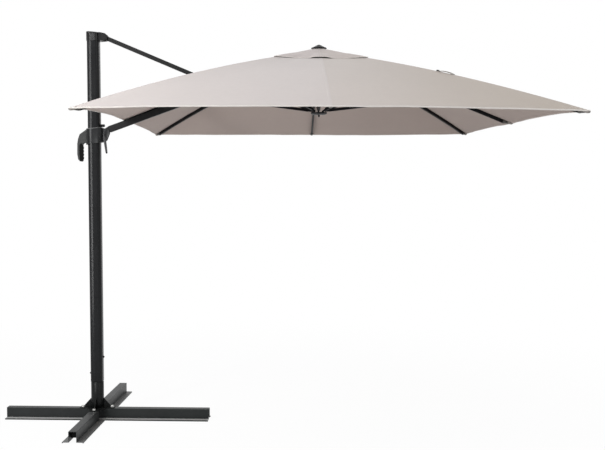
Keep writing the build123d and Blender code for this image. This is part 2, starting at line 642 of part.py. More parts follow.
def build_carriage():
    """Two shells round a liner, the ears for the arm, screws, pin, handle and lock lever."""
    width = MAST_WIDTH + 2 * CLEAR
    corner = MAST_CORNER + CLEAR
    outer = width + 2 * LINER_THICKNESS
    outer_corner = corner + LINER_THICKNESS
    liner_low = CARRIAGE_BOTTOM_Z + 16
    liner_high = CARRIAGE_TOP_Z - 8
    liner = square_bar(outer, outer_corner, liner_low, liner_high)
    liner -= square_bar(width, corner, liner_low, liner_high)
    side = [(CARRIAGE_LEFT - 1, 1983), (CARRIAGE_RIGHT + 1, 2002)]
    side += [(CARRIAGE_RIGHT + 1, 2105), (CARRIAGE_LEFT - 1, 2094)]
    body = carriage_plan(CARRIAGE_BOTTOM_Z - 20, CARRIAGE_TOP_Z + 20)
    body = body & outline_xz(side, -70, 70)
    cx, cz = CARRIAGE_PIVOT
    ear = [(CARRIAGE_RIGHT - 7, 2001), (CARRIAGE_RIGHT + 24, 2013), (cx + 28, 2064)]
    ear += [(cx + 28, cz + 2), (cx + 16, cz + 15.5), (CARRIAGE_RIGHT - 7, cz + 15)]
    ear_in = ARM_WIDTH / 2 + SIDE_CLEAR
    ear_out = ear_in + EAR_THICKNESS
    ears = outline_xz(ear, -ear_out, ear_out, 3)
    ears -= block(CARRIAGE_RIGHT, cx + 60, -ear_in, ear_in, 1980, 2120)
    body += ears
    body -= square_bar(outer, outer_corner, CARRIAGE_BOTTOM_Z - 20, CARRIAGE_TOP_Z + 20)
    body -= rod_y(cx, cz, MAIN_PIN_DIAMETER, -ear_out - 1, ear_out + 1)
    lever_x, lever_z = LEVER_PIVOT
    body -= rod_y(lever_x, lever_z, LEVER_STUD_DIAMETER + BORE_EXTRA, -ear_out - 1, -ear_in + 1)
    screws = []
    for x, z in carriage_screw_places():
        body -= rod_y(x, z, 8.6, -80, -30)
        body -= rod_y(x, z, 4, -31, 22)
        screws.append(rod_y(x, z, 8, -34, -30) + rod_y(x, z, 4, -30.5, 22))
    keep("carriage_front", body & block(-90, 150, -80, 0, 1900, 2200))
    keep("carriage_rear", body & block(-90, 150, 0, 80, 1900, 2200))
    keep("carriage_liner", liner)
    keep("carriage_screws", *screws)
    pin = rod_y(cx, cz, MAIN_PIN_DIAMETER, -ear_out, ear_out)
    for way in (-1, 1):
        pin += rod_y(cx, cz, 17, *sorted((way * ear_out, way * (ear_out + 3))))
    keep("arm_root_pin", pin)
    build_handle()
    build_lever(ear_out, ear_in)


def build_handle():
    """Hooked handle open at the bottom, with a sprung trigger in its inner side."""
    wide = HANDLE_WIDTH / 2
    face = CARRIAGE_LEFT
    outline = [(face, 2092), (face - 6, 2089), (-104, 2059), (-116, 2026), (-122, 1992)]
    outline += [(-123, 1916), (-117, 1880), (-106, 1866), (-92, 1863), (-83, 1867)]
    outline += [(-82, 1984), (-74, 1994), (face, 1998)]
    handle = outline_xz(outline, -wide, wide)
    long_edges = handle.edges().filter_by(lambda edge: abs(edge.center().Y) > wide - 0.01)
    long_edges = [edge for edge in long_edges if edge.center().X < face - 1]
    handle = fillet(long_edges, 3)
    px, pz = TRIGGER_PIVOT
    half_channel = TRIGGER_WIDTH / 2 + SIDE_CLEAR
    channel = [(-76, pz - 8), (-76, pz + 8), (px - 8, pz + 8), (px - 12, pz - 6)]
    channel += [(-112, 1905), (-110, 1872), (-100, 1850), (-76, 1850)]
    handle -= outline_xz(channel, -half_channel, half_channel)
    handle -= rod_y(px, pz, 4, -wide + 2, wide - 2)
    keep("handle", handle)
    depth = TRIGGER_WIDTH / 2
    grip = [(px + 5, pz), (px + 10, pz - 14)]
    for ridge in range(4):
        top = pz - 22 - 24 * ridge
        grip += [(px + 9, top), (px + 12, top - 8), (px + 12, top - 14), (px + 9, top - 22)]
    grip += [(px + 8, 1869), (px - 2, 1869), (px - 6, 1885), (px - 6, pz - 20), (px - 5, pz)]
    trigger = outline_xz(grip, -depth, depth)
    trigger += rod_y(px, pz, 11, -depth, depth)
    trigger -= rod_y(px, pz, 4 + BORE_EXTRA, -depth - 1, depth + 1)
    keep("trigger", trigger)
    keep("trigger_pin", rod_y(px, pz, 4, -wide + 2, wide - 2))


def build_lever(ear_out, ear_in):
    """Flat tapering lock lever on a stud through the nearer ear, with a ball knob."""
    x, z = LEVER_PIVOT
    place = Pos(x, 0, z) * Rot(0, -LEVER_LEAN, 0)
    near = -ear_out - 0.8
    far = near - LEVER_THICKNESS
    bar = outline_xz([(-8, 0), (8, 0), (4.5, -LEVER_LENGTH), (-4.5, -LEVER_LENGTH)], far, near)
    bar += rod_y(0, 0, 17, far, near)
    bar += rod_y(0, 0, LEVER_STUD_DIAMETER, near - 1, -ear_in - 0.3)
    bar += rod_y(0, 0, 12, far - 3, far)
    middle = (near + far) / 2
    ball_z = -LEVER_LENGTH - LEVER_BALL_DIAMETER / 2 + 2
    ball = Pos(0, middle, ball_z) * Sphere(LEVER_BALL_DIAMETER / 2)
    ball -= outline_xz([(-5, -LEVER_LENGTH), (5, -LEVER_LENGTH), (5, 0), (-5, 0)], far, near)
    keep("lock_lever", place * bar)
    keep("lever_ball", place * ball)


# ---------------------------------------------------------------- crown and runner
def at_rib(rib, solid):
    """Turn a solid drawn along +x from the crown axis into this rib's direction."""
    return Pos(CROWN_X, rib.offset_y, 0) * Rot(0, 0, rib.azimuth) * solid


def build_crown():
    """Hub with eight slots and pins, a lug for the arm, and the cap above the canopy."""
    low = RIB_PIVOT_Z - HUB_HEIGHT / 2
    high = RIB_PIVOT_Z + HUB_HEIGHT / 2
    hub = rod_z(CROWN_X, 0, 2 * HUB_RADIUS, low, high)
    lug_x = CROWN_X - CROWN_LUG_REACH
    lug = [(lug_x, ARM_END_Z - 12), (CROWN_X - 8, low - 10), (CROWN_X + 8, low + 1)]
    lug += [(CROWN_X - 45, low + 1), (lug_x, ARM_END_Z + 12)]
    half_lug = LUG_THICKNESS / 2
    hub += outline_xz(lug, -half_lug, half_lug)
    hub += rod_y(lug_x, ARM_END_Z, 24, -half_lug, half_lug)
    hub -= rod_y(lug_x, ARM_END_Z, MAIN_PIN_DIAMETER + BORE_EXTRA, -half_lug - 1, half_lug + 1)
    hub -= rod_z(CROWN_X, 0, CAP_STEM_DIAMETER, high - 14, high + 1)
    slot_half = TONGUE_THICKNESS / 2 + SIDE_CLEAR
    pins = []
    for rib in RIBS:
        start = RIB_PIVOT_RADIUS - 11
        slot = block(start, HUB_RADIUS + 10, -slot_half, slot_half, low - 1, high + 1)
        bar = rod_y(RIB_PIVOT_RADIUS, RIB_PIVOT_Z, SMALL_PIN_DIAMETER, -10, 10)
        hub -= at_rib(rib, slot)
        hub -= at_rib(rib, bar)
        pins.append(at_rib(rib, bar))
    keep("crown_hub", hub)
    keep("crown_pins", *pins)
    radius = CAP_DIAMETER / 2
    profile = [(0, CAP_BOTTOM_Z), (radius - 3, CAP_BOTTOM_Z), (radius, CAP_BOTTOM_Z + 3)]
    profile += [(radius - 1, CAP_BOTTOM_Z + 10), (radius - 10, CAP_BOTTOM_Z + 20)]
    profile += [(radius - 27, CAP_TOP_Z - 4), (14, CAP_TOP_Z), (0, CAP_TOP_Z)]
    face = make_face(Polyline(*[(x, 0, z) for x, z in profile], close=True))
    cap = Pos(CROWN_X, 0, 0) * revolve(face, Axis.Z)
    for flute in range(CAP_FLUTES):
        groove = Pos(radius + 1.5, 0, CAP_BOTTOM_Z + 9) * Rot(0, -12, 0) * Cylinder(4, 30)
        cap -= Pos(CROWN_X, 0, 0) * Rot(0, 0, 360 / CAP_FLUTES * flute) * groove
    cap += rod_z(CROWN_X, 0, CAP_STEM_DIAMETER, high - 14, CAP_BOTTOM_Z + 1)
    keep("crown_cap", cap)


def foot_clevis(rib):
    """The clevis on the runner that one stretcher's foot turns in."""
    pivot_z = RIB_PIVOT_Z - RUNNER_DROP
    inner = FOOT_THICKNESS / 2 + SIDE_CLEAR
    outer = FOOT_PIN_LENGTH / 2
    floor = pivot_z - RUNNER_DISH_DROP - 1
    start = RUNNER_PIVOT_RADIUS - FOOT_EYE_RADIUS
    end = RUNNER_PIVOT_RADIUS + FOOT_EYE_RADIUS
    clevis = block(start, end, -outer, outer, floor, pivot_z)
    clevis += rod_y(RUNNER_PIVOT_RADIUS, pivot_z, 2 * FOOT_EYE_RADIUS, -outer, outer)
    bore = SMALL_PIN_DIAMETER + BORE_EXTRA
    clevis -= rod_y(RUNNER_PIVOT_RADIUS, pivot_z, bore, -outer - 1, outer + 1)
    clevis -= block(start - 1, end + 20, -inner, inner, floor + 1, pivot_z + 20)
    return at_rib(rib, clevis)


def build_runner():
    """Round dished runner that hangs on one stretcher's foot, with a ball under it."""
    pivot_z = RIB_PIVOT_Z - RUNNER_DROP
    top = pivot_z - RUNNER_TOP_DROP
    floor = pivot_z - RUNNER_DISH_DROP
    radius = RUNNER_DIAMETER / 2
    inner = radius - RUNNER_RIM_WIDTH
    profile = [(0, RUNNER_BOTTOM_Z), (radius - 14, RUNNER_BOTTOM_Z), (radius, RUNNER_BOTTOM_Z + 8)]
    profile += [(radius, top), (inner, top), (inner - 2, floor), (0, floor)]
    face = make_face(Polyline(*[(x, 0, z) for x, z in profile], close=True))
    runner = Pos(CROWN_X, 0, 0) * revolve(face, Axis.Z)
    for rib in RIBS:
        if rib.name == RUNNER_CARRIER:
            runner += foot_clevis(rib)
        if rib.slack == ARM_FOOT_SLACK:
            half = RUNNER_NOTCH_WIDTH / 2
            runner -= at_rib(rib, block(20, radius + 20, -half, half, floor, top + 1))
    runner -= rod_z(CROWN_X, 0, 6, RUNNER_BOTTOM_Z - 1, RUNNER_BOTTOM_Z + RUNNER_STEM_REACH)
    ball = Pos(CROWN_X, 0, RUNNER_BALL_Z) * Sphere(RUNNER_BALL_DIAMETER / 2)
    ball += rod_z(CROWN_X, 0, 6, RUNNER_BALL_Z, RUNNER_BOTTOM_Z + RUNNER_STEM_REACH)
    keep("runner", runner)
    keep("runner_ball", ball)


# ---------------------------------------------------------------- ribs and stretchers
def bowed_bar(rib, start, end, width, height):
    """A bar that follows the rib's bow between two places along its chord."""
    half = height / 2
    middle = (start + end) / 2
    lines = []
    for side in (-half, half):
        ends = [(u, 0, rib.bow_at(u) + side) for u in (start, middle, end)]
        lines.append(ThreePointArc(*ends))
    low, high = lines
    sides = [Line(low @ 0, high @ 0), Line(low @ 1, high @ 1)]
    face = make_face(low + high + sides[0] + sides[1])
    return Pos(0, -width / 2, 0) * extrude(face, amount=width, dir=(0, 1, 0))


def build_rib(rib):
    """Bowed tube with a tongue at the crown and a riveted fork for its stretcher."""
    inside = 2 * RIB_WALL
    tube = bowed_bar(rib, RIB_TUBE_START, rib.length, RIB_WIDTH, RIB_HEIGHT)
    tube -= bowed_bar(
        rib, RIB_TUBE_START + 20, rib.length - 2, RIB_WIDTH - inside, RIB_HEIGHT - inside
    )
    half = TONGUE_THICKNESS / 2
    tube += block(0, RIB_TUBE_START + 1, -half, half, -7.5, 8.5)
    tube += rod_y(0, 0, 18, -half, half)
    tube -= rod_y(0, 0, SMALL_PIN_DIAMETER + BORE_EXTRA, -half - 1, half + 1)
    u = rib.pin_along
    v = rib.pin_above
    gap = RIB_WIDTH / 2
    out = gap + 2
    fork = outline_xz([(u - 20, v + 28), (u + 20, v + 28), (u + 7, v), (u - 7, v)], -out, out)
    fork += rod_y(u, v, 14, -out, out)
    fork -= block(u - 30, u + 30, -gap, gap, v - 20, v + 40)
    tube += fork
    tube += rod_y(u, v, SMALL_PIN_DIAMETER, -out - 0.5, out + 0.5)
    place = rib.frame(RIB_PIVOT_RADIUS, RIB_PIVOT_Z, 90 - rib.open_angle)
    keep("rib_" + rib.name, place * tube)


def build_stretcher(rib):
    """Small tube from the rib's fork to the runner, with a thin foot and its eye or cross pin."""
    length = rib.stretcher_length
    half = STRETCHER_HEIGHT / 2
    wide = STRETCHER_WIDTH / 2
    bar = block(0, length - 26, -wide, wide, -half, half)
    bar += rod_y(0, 0, STRETCHER_HEIGHT, -wide, wide)
    bar -= block(14, length - 40, -wide + 1.5, wide - 1.5, -half + 1.5, half - 1.5)
    bar -= rod_y(0, 0, SMALL_PIN_DIAMETER + BORE_EXTRA, -wide - 1, wide + 1)
    thin = FOOT_THICKNESS / 2
    bar += block(length - 28, length, -thin, thin, -FOOT_EYE_RADIUS + 1, FOOT_EYE_RADIUS - 1)
    bar += rod_y(length, 0, 2 * FOOT_EYE_RADIUS, -thin, thin)
    if rib.name == RUNNER_CARRIER:
        pin_half = FOOT_PIN_LENGTH / 2
        bar += rod_y(length, 0, SMALL_PIN_DIAMETER, -pin_half, pin_half)
    else:
        bar -= rod_y(length, 0, SMALL_PIN_DIAMETER + BORE_EXTRA, -thin - 1, thin + 1)
    place = rib.frame(*rib.pin_open, 180 - rib.stretcher_angle)
    keep("stretcher_" + rib.name, place * bar)


# ---------------------------------------------------------------- canopy
def blend(first, second, share):
    """A point between two points."""
    return tuple(a + (b - a) * share for a, b in zip(first, second))


def vent_point(rib, share):
    """The vent flap's underside above this rib."""
    x, y, z = rib.cloth_point(share)
    return x, y, z + VENT_LIFT


def ring_point(rib):
    """Where the vent flap meets the ring round the crown's stem."""
    turn = math.radians(rib.azimuth)
    x = CROWN_X + VENT_RING_RADIUS * math.cos(turn)
    return x, VENT_RING_RADIUS * math.sin(turn), VENT_TOP_Z


def cloth_row(before, here, after):
    """Middle line, rib line and middle line of one station, each side pulled in a little."""
    row = []
    for side in (before, after):
        middle = blend(here, side, 0.5)
        span = math.dist(here, middle)
        row.append(blend(here, middle, 1 - SECTOR_GAP / 2 / span))
    return [row[0], here, row[1]]


def build_canopy():
    """Eight fabric sectors, each centred on its rib, with a vent flap over the crown."""
    count = len(RIBS)
    for index, rib in enumerate(RIBS):
        before = RIBS[index - 1]
        after = RIBS[(index + 1) % count]
        rows = []
        for step in range(FABRIC_STATIONS + 1):
            share = MAIN_INNER_SHARE + (1 - MAIN_INNER_SHARE) * step / FABRIC_STATIONS
            rows.append(cloth_row(*[one.cloth_point(share) for one in (before, rib, after)]))
        main = cloth_solid(rows, FABRIC_THICKNESS)
        if rib.name == "arm_side":
            x, z = JUNCTION
            half = SLIT_LENGTH / 2
            wide = SLIT_WIDTH / 2
            main -= block(x - half, x + half, -wide, wide, z - 80, z + 80)
        ring = cloth_row(*[ring_point(one) for one in (before, rib, after)])
        vent_rows = [ring]
        for share in (0.5 * VENT_SHARE, VENT_SHARE):
            vent_rows.append(cloth_row(*[vent_point(one, share) for one in (before, rib, after)]))
        vent = cloth_solid(vent_rows, FABRIC_THICKNESS)
        keep("canopy_" + rib.name, main, vent)


if __name__ == "__main__":
    os.makedirs("parts", exist_ok=True)
    build_base()
    build_mast()
    build_strut()
    build_arm()
    build_carriage()
    build_crown()
    build_runner()
    for one_rib in RIBS:
        build_rib(one_rib)
        build_stretcher(one_rib)
    build_canopy()
    for node, shape in PARTS.items():
        export_step(shape, "parts/" + node + ".step")
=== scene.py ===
"""Cantilever parasol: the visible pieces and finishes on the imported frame.

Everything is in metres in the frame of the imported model: +X runs from the mast to the crown,
+Z is up, and the origin is on the ground under the mast.
"""

import json
import logging
import math
from dataclasses import dataclass, field
from enum import Enum
from typing import Any, Callable, ClassVar, Sequence

import bmesh
import bpy
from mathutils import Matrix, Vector


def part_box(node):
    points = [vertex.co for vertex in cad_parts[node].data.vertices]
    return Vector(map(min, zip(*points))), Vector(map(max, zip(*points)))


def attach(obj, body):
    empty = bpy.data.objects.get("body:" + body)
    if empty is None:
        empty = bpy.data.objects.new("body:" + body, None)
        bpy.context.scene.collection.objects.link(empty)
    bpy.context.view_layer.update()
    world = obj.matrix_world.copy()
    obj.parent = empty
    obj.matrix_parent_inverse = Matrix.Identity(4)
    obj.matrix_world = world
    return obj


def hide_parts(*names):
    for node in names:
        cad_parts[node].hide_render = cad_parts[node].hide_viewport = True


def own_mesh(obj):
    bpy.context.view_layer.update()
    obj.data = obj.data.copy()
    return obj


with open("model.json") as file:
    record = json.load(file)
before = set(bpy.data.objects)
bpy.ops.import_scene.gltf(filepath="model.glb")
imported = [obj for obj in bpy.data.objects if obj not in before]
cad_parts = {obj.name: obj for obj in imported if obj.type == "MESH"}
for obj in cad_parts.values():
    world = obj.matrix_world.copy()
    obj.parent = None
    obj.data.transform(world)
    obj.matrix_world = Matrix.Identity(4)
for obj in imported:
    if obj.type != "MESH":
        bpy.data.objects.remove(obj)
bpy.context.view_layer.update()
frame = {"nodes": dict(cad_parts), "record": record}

logging.basicConfig(level=logging.INFO, format="%(message)s")
LOG = logging.getLogger("parasol")

Point = tuple[float, float, float]
Colour = tuple[float, float, float]
Span = tuple[float, float]
Rows = Sequence[Sequence[Vector]]

UP = Vector((0.0, 0.0, 1.0))
WHITE = (1.0, 1.0, 1.0)
CROWN_X = 1.608


# ------------------------------------------------------------------ shader tools
class Sock:
    """A shader socket that takes part in Python expressions."""

    def __init__(self, nodes: "NodeSet", socket: bpy.types.NodeSocket) -> None:
        """Wrap an output socket of one of these nodes."""
        self.nodes = nodes
        self.socket = socket

    def _math(self, operation: str, *values: Any) -> "Sock":
        """One Math node on numbers or sockets, in order."""
        return self.nodes.node("ShaderNodeMath", {"operation": operation}, dict(enumerate(values)))

    def __add__(self, other: Any) -> "Sock":
        """Sum."""
        return self._math("ADD", self, other)

    __radd__ = __add__

    def __sub__(self, other: Any) -> "Sock":
        """Difference."""
        return self._math("SUBTRACT", self, other)

    def __rsub__(self, other: Any) -> "Sock":
        """Reflected difference."""
        return self._math("SUBTRACT", other, self)

    def __mul__(self, other: Any) -> "Sock":
        """Product."""
        return self._math("MULTIPLY", self, other)

    __rmul__ = __mul__

    def __lt__(self, other: Any) -> "Sock":
        """One where this is the lesser, else zero."""
        return self._math("LESS_THAN", self, other)

    def __abs__(self) -> "Sock":
        """Size without sign."""
        return self._math("ABSOLUTE", self)

    def sine(self) -> "Sock":
        """Sine of the value."""
        return self._math("SINE", self)

    def fraction(self) -> "Sock":
        """Part after the point."""
        return self._math("FRACT", self)

    def most(self, other: Any) -> "Sock":
        """The greater of two values."""
        return self._math("MAXIMUM", self, other)

    def span(self, low: float, high: float, start: float = 0.0, end: float = 1.0) -> "Sock":
        """Map low..high smoothly to start..end, held at both ends."""
        values = {"Value": self, "From Min": low, "From Max": high, "To Min": start, "To Max": end}
        return self.nodes.node("ShaderNodeMapRange", {"interpolation_type": "SMOOTHSTEP"}, values)


class NodeSet:
    """The nodes of one material or of the world."""

    def __init__(self, tree: bpy.types.NodeTree, last: str) -> None:
        """Start with nothing but the last node.

        Args:
            tree: the node tree, which is emptied.
            last: type of the output node.
        """
        self.tree = tree
        tree.nodes.clear()
        self.surface = tree.nodes.new(last).inputs[0]

    def node(
        self,
        kind: str,
        settings: dict[str, Any] | None = None,
        inputs: dict[Any, Any] | None = None,
        output: Any = 0,
    ) -> Sock:
        """Make one node.

        Args:
            kind: the node's type.
            settings: its attributes, which are set first.
            inputs: values or sockets for its inputs, by name or place.
            output: name or place of the output that is returned.

        Returns:
            The chosen output.
        """
        made = self.tree.nodes.new(kind)
        for key, value in (settings or {}).items():
            setattr(made, key, value)
        for key, value in (inputs or {}).items():
            self.feed(made.inputs[key], value)
        return Sock(self, made.outputs[output])

    def feed(self, socket: bpy.types.NodeSocket, value: Any) -> None:
        """Set or link one input.

        Args:
            socket: the input.
            value: a Sock, a number, or a colour or vector.
        """
        if isinstance(value, Sock):
            self.tree.links.new(value.socket, socket)
        elif isinstance(value, tuple) and len(value) == 3 and socket.type == "RGBA":
            socket.default_value = (*value, 1.0)
        else:
            socket.default_value = value


class Graph(NodeSet):
    """One material's nodes, which end in a Principled shader."""

    def __init__(self, name: str) -> None:
        """Start a material.

        Args:
            name: the material's name.
        """
        self.material = bpy.data.materials.new(name)
        self.material.use_nodes = True
        super().__init__(self.material.node_tree, "ShaderNodeOutputMaterial")
        self.shader = self.node("ShaderNodeBsdfPrincipled")
        self.feed(self.surface, self.shader)

    def set(self, **values: Any) -> None:
        """Set Principled inputs, with underscores for spaces in their names."""
        for key, value in values.items():
            self.feed(self.shader.socket.node.inputs[key.replace("_", " ")], value)

    def place(self) -> Sock:
        """Position in the object's own frame."""
        return self.node("ShaderNodeTexCoord", output="Object")

    def pointiness(self) -> Sock:
        """How sharp the surface is, from 0 in a groove to 1 on an edge."""
        return self.node("ShaderNodeNewGeometry", output="Pointiness")

    def axis(self, vector: Sock, number: int) -> Sock:
        """One number of a vector: 0 for x, 1 for y, 2 for z."""
        return self.node("ShaderNodeSeparateXYZ", None, {0: vector}, number)

    def noise(self, scale: float, detail: float, rough: float = 0.55) -> Sock:
        """Noise from 0 to 1, from features per metre, octaves and the finer octaves' weight."""
        values = {"Vector": self.place(), "Scale": scale, "Detail": detail, "Roughness": rough}
        return self.node("ShaderNodeTexNoise", None, values, "Fac")

    def mix(self, factor: Any, first: Any, second: Any) -> Sock:
        """Mix two colours: a factor of 0 gives the first, 1 the second."""
        settings = {"data_type": "RGBA", "clamp_factor": True}
        return self.node("ShaderNodeMix", settings, {0: factor, 6: first, 7: second}, 2)

    def mottle(self, factor: Sock, colour: Colour, dark: float, light: float) -> Sock:
        """A colour that drifts between a darker and a lighter shade of itself."""
        return self.mix(factor, scaled(colour, dark), scaled(colour, light))

    def bump(self, height: Sock, strength: float, distance: float) -> Sock:
        """A normal from a height, where a height of one stands this distance proud."""
        values = {"Height": height, "Strength": strength, "Distance": distance}
        return self.node("ShaderNodeBump", None, values, "Normal")


def scaled(colour: Colour, factor: float) -> Colour:
    """A colour made lighter or darker."""
    return tuple(min(1.0, part * factor) for part in colour)


# ------------------------------------------------------------------ finishes
@dataclass(frozen=True)
class PowderCoat:
    """Baked powder paint on aluminium or steel; if set, the low up-facing flanges are painted
    paler: dust, and painted light on their tops.
    """

    name: str
    colour: Colour
    roughness: float = 0.40
    grain: float = 0.05
    specular: float = 0.18
    # How much the low up-facing faces are painted paler: dust, and painted light on their tops.
    dust_and_top_light: float = 0.0
    cloud_scale: ClassVar[float] = 5.0
    speck_scale: ClassVar[float] = 900.0
    peel_scale: ClassVar[float] = 420.0
    peel_depth: ClassVar[float] = 0.00012
    rub_scale: ClassVar[float] = 60.0
    rub_strength: ClassVar[float] = 0.06
    rub_colour: ClassVar[Colour] = (0.10, 0.10, 0.10)
    # Below this height, up-facing faces turn towards this pale colour: dust, and painted light on
    # their tops.
    dust_and_light_height: ClassVar[float] = 0.012
    dust_and_light_colour: ClassVar[Colour] = (0.62, 0.62, 0.61)

    def build(self) -> bpy.types.Material:
        """Make the material.

        Returns:
            The material.
        """
        graph = Graph(self.name)
        cloud = graph.noise(self.cloud_scale, 3.0)
        speck = graph.noise(self.speck_scale, 2.0)
        peel = graph.noise(self.peel_scale, 1.5)
        patchy = graph.noise(self.rub_scale, 3.0).span(0.45, 0.70)
        rub = graph.pointiness().span(0.56, 0.66) * patchy
        base = graph.mottle(cloud.span(0.3, 0.7), self.colour, 0.88, 1.12)
        base = graph.mix(speck.span(0.62, 0.78) * 0.25, base, scaled(self.colour, 1.6))
        base = graph.mix(rub * self.rub_strength, base, self.rub_colour)
        # Paler low up-facing faces: dust, and painted light on the tops of the flanges.
        if self.dust_and_top_light:
            facing = graph.axis(graph.node("ShaderNodeNewGeometry", output="Normal"), 2)
            low = graph.axis(graph.place(), 2) < self.dust_and_light_height
            base = graph.mix(facing.span(0.80, 0.98) * low * self.dust_and_top_light, base, self.dust_and_light_colour)
        rough = cloud.span(0.25, 0.75, self.roughness - 0.03, self.roughness + 0.04)
        graph.set(Base_Color=base, Roughness=rough, Metallic=0.0)
        graph.set(Specular_IOR_Level=self.specular)
        graph.set(Normal=graph.bump(peel * 0.7 + speck * 0.3, self.grain, self.peel_depth))
        return graph.material


@dataclass(frozen=True)
class MouldedPlastic:
    """Glass-filled plastic with a fine spark-eroded texture."""

    name: str
    colour: Colour
    roughness: float = 0.50
    texture: float = 0.12
    specular: float = 0.22
    cloud_scale: ClassVar[float] = 9.0
    grain_scale: ClassVar[float] = 1500.0
    grain_depth: ClassVar[float] = 0.0001
    edge_strength: ClassVar[float] = 0.15

    def build(self) -> bpy.types.Material:
        """Make the material.

        Returns:
            The material.
        """
        graph = Graph(self.name)
        cloud = graph.noise(self.cloud_scale, 2.0)
        grain = graph.noise(self.grain_scale, 2.0)
        edge = graph.pointiness().span(0.54, 0.66)
        base = graph.mottle(cloud.span(0.3, 0.7), self.colour, 0.9, 1.14)
        base = graph.mix(edge * self.edge_strength, base, scaled(self.colour, 1.6))
        rough = grain.span(0.3, 0.7, self.roughness - 0.05, self.roughness + 0.06)
        graph.set(Base_Color=base, Roughness=rough, Specular_IOR_Level=self.specular)
        graph.set(Normal=graph.bump(grain, self.texture, self.grain_depth))
        return graph.material


@dataclass(frozen=True)
class PlatedSteel:
    """Zinc-plated or bright steel for bolts and pins."""

    name: str
    colour: Colour
    roughness: float = 0.3
    cloud_scale: ClassVar[float] = 140.0
    grain_scale: ClassVar[float] = 900.0
    grain_depth: ClassVar[float] = 0.0002

    def build(self) -> bpy.types.Material:
        """Make the material.

        Returns:
            The material.
        """
        graph = Graph(self.name)
        cloud = graph.noise(self.cloud_scale, 3.0)
        base = graph.mottle(cloud.span(0.35, 0.65), self.colour, 0.8, 1.1)
        rough = cloud.span(0.3, 0.7, self.roughness - 0.06, self.roughness + 0.12)
        graph.set(Base_Color=base, Roughness=rough, Metallic=0.95)
        graph.set(Normal=graph.bump(graph.noise(self.grain_scale, 2.0), 0.15, self.grain_depth))
        return graph.material


@dataclass(frozen=True)
class CanopyFabric:
    """Spun polyester: plain weave with warp and weft, stitched along the seams and hem."""

    name: str
    colour: Colour
    # The darker colour that the panel's tone and the painted shade turn towards.
    other: Colour
    sheen: float = 0.25
    thread: ClassVar[float] = 0.0009
    stitches_per_metre: ClassVar[float] = 110.0
    stitch_share: ClassVar[float] = 0.62
    # A row of stitches: its distance from the seam or hem, and half the thread's width.
    seam_line: ClassVar[Span] = (0.0085, 0.0009)
    hem_line: ClassVar[Span] = (0.026, 0.0011)
    # Painted shade: between these two x places the colour turns towards the darker second colour,
    # so the canopy darkens away from the mast.
    painted_shade_span: ClassVar[Span] = (1.3, 3.0)
    fade: ClassVar[float] = 0.94

    def build(self) -> bpy.types.Material:
        """Make the material.

        The cloth map gives metres across and along the panel. The panel map gives the panel's
        tone and the distance from its hem.

        Returns:
            The material.
        """
        graph = Graph(self.name)
        cloth = graph.node("ShaderNodeUVMap", {"uv_map": "cloth"})
        panel = graph.node("ShaderNodeUVMap", {"uv_map": "panel"})
        across, along = graph.axis(cloth, 0), graph.axis(cloth, 1)
        cut, hem = graph.axis(panel, 0), graph.axis(panel, 1)
        turns = 2 * math.pi / self.thread
        weave = (across * turns).sine() * (along * turns).sine() * 0.5 + 0.5
        slub = graph.noise(28.0, 4.0, 0.6)
        drift = graph.noise(1.6, 2.0)
        # Tone: the panel's tone, plus painted shade that darkens the canopy away from the mast.
        tone = cut * 0.35 + graph.axis(graph.place(), 0).span(*self.painted_shade_span) * 0.65
        base = graph.mix(tone, self.colour, self.other)
        faded = graph.mix(tone, scaled(self.colour, self.fade), scaled(self.other, self.fade))
        base = graph.mix(drift.span(0.3, 0.7) * 0.5, base, faded)
        threads = weave * 0.10 + slub.span(0.35, 0.7) * 0.06
        base = graph.mix(threads, base, scaled(self.colour, 0.62))
        stitch = self.dashes(abs(across), self.seam_line, along)
        stitch = stitch + self.dashes(hem, self.hem_line, across)
        base = graph.mix(stitch * 0.55, base, scaled(self.colour, 0.55))
        height = weave * 0.35 + slub * 0.25 - stitch * 0.8
        graph.set(Base_Color=base, Roughness=0.86, Specular_IOR_Level=0.25)
        graph.set(Sheen_Weight=self.sheen, Sheen_Roughness=0.45)
        graph.set(Normal=graph.bump(height, 0.45, 0.0006))
        return graph.material

    def dashes(self, distance: Sock, line: Span, run: Sock) -> Sock:
        """One on a row of stitches: the line gives its distance and half the thread's width."""
        on_line = abs(distance - line[0]) < line[1]
        return on_line * ((run * self.stitches_per_metre).fraction() < self.stitch_share)


@dataclass(frozen=True)
class Webbing:
    """Sewn strap or binding tape, and the dark band of painted shade under the vent flap."""

    name: str
    colour: Colour
    row_scale: ClassVar[float] = 380.0
    fuzz_scale: ClassVar[float] = 240.0

    def build(self) -> bpy.types.Material:
        """Make the material.

        Returns:
            The material.
        """
        graph = Graph(self.name)
        where = {"Vector": graph.place(), "Scale": self.row_scale}
        rows = graph.node("ShaderNodeTexWave", {"bands_direction": "DIAGONAL"}, where, 1)
        fuzz = graph.noise(self.fuzz_scale, 3.0)
        base = graph.mix(rows * 0.35 + fuzz * 0.2, self.colour, scaled(self.colour, 0.7))
        graph.set(Base_Color=base, Roughness=0.85, Sheen_Weight=0.2, Sheen_Roughness=0.5)
        graph.set(Normal=graph.bump(rows * 0.6 + fuzz * 0.4, 0.4, 0.0005))
        return graph.material


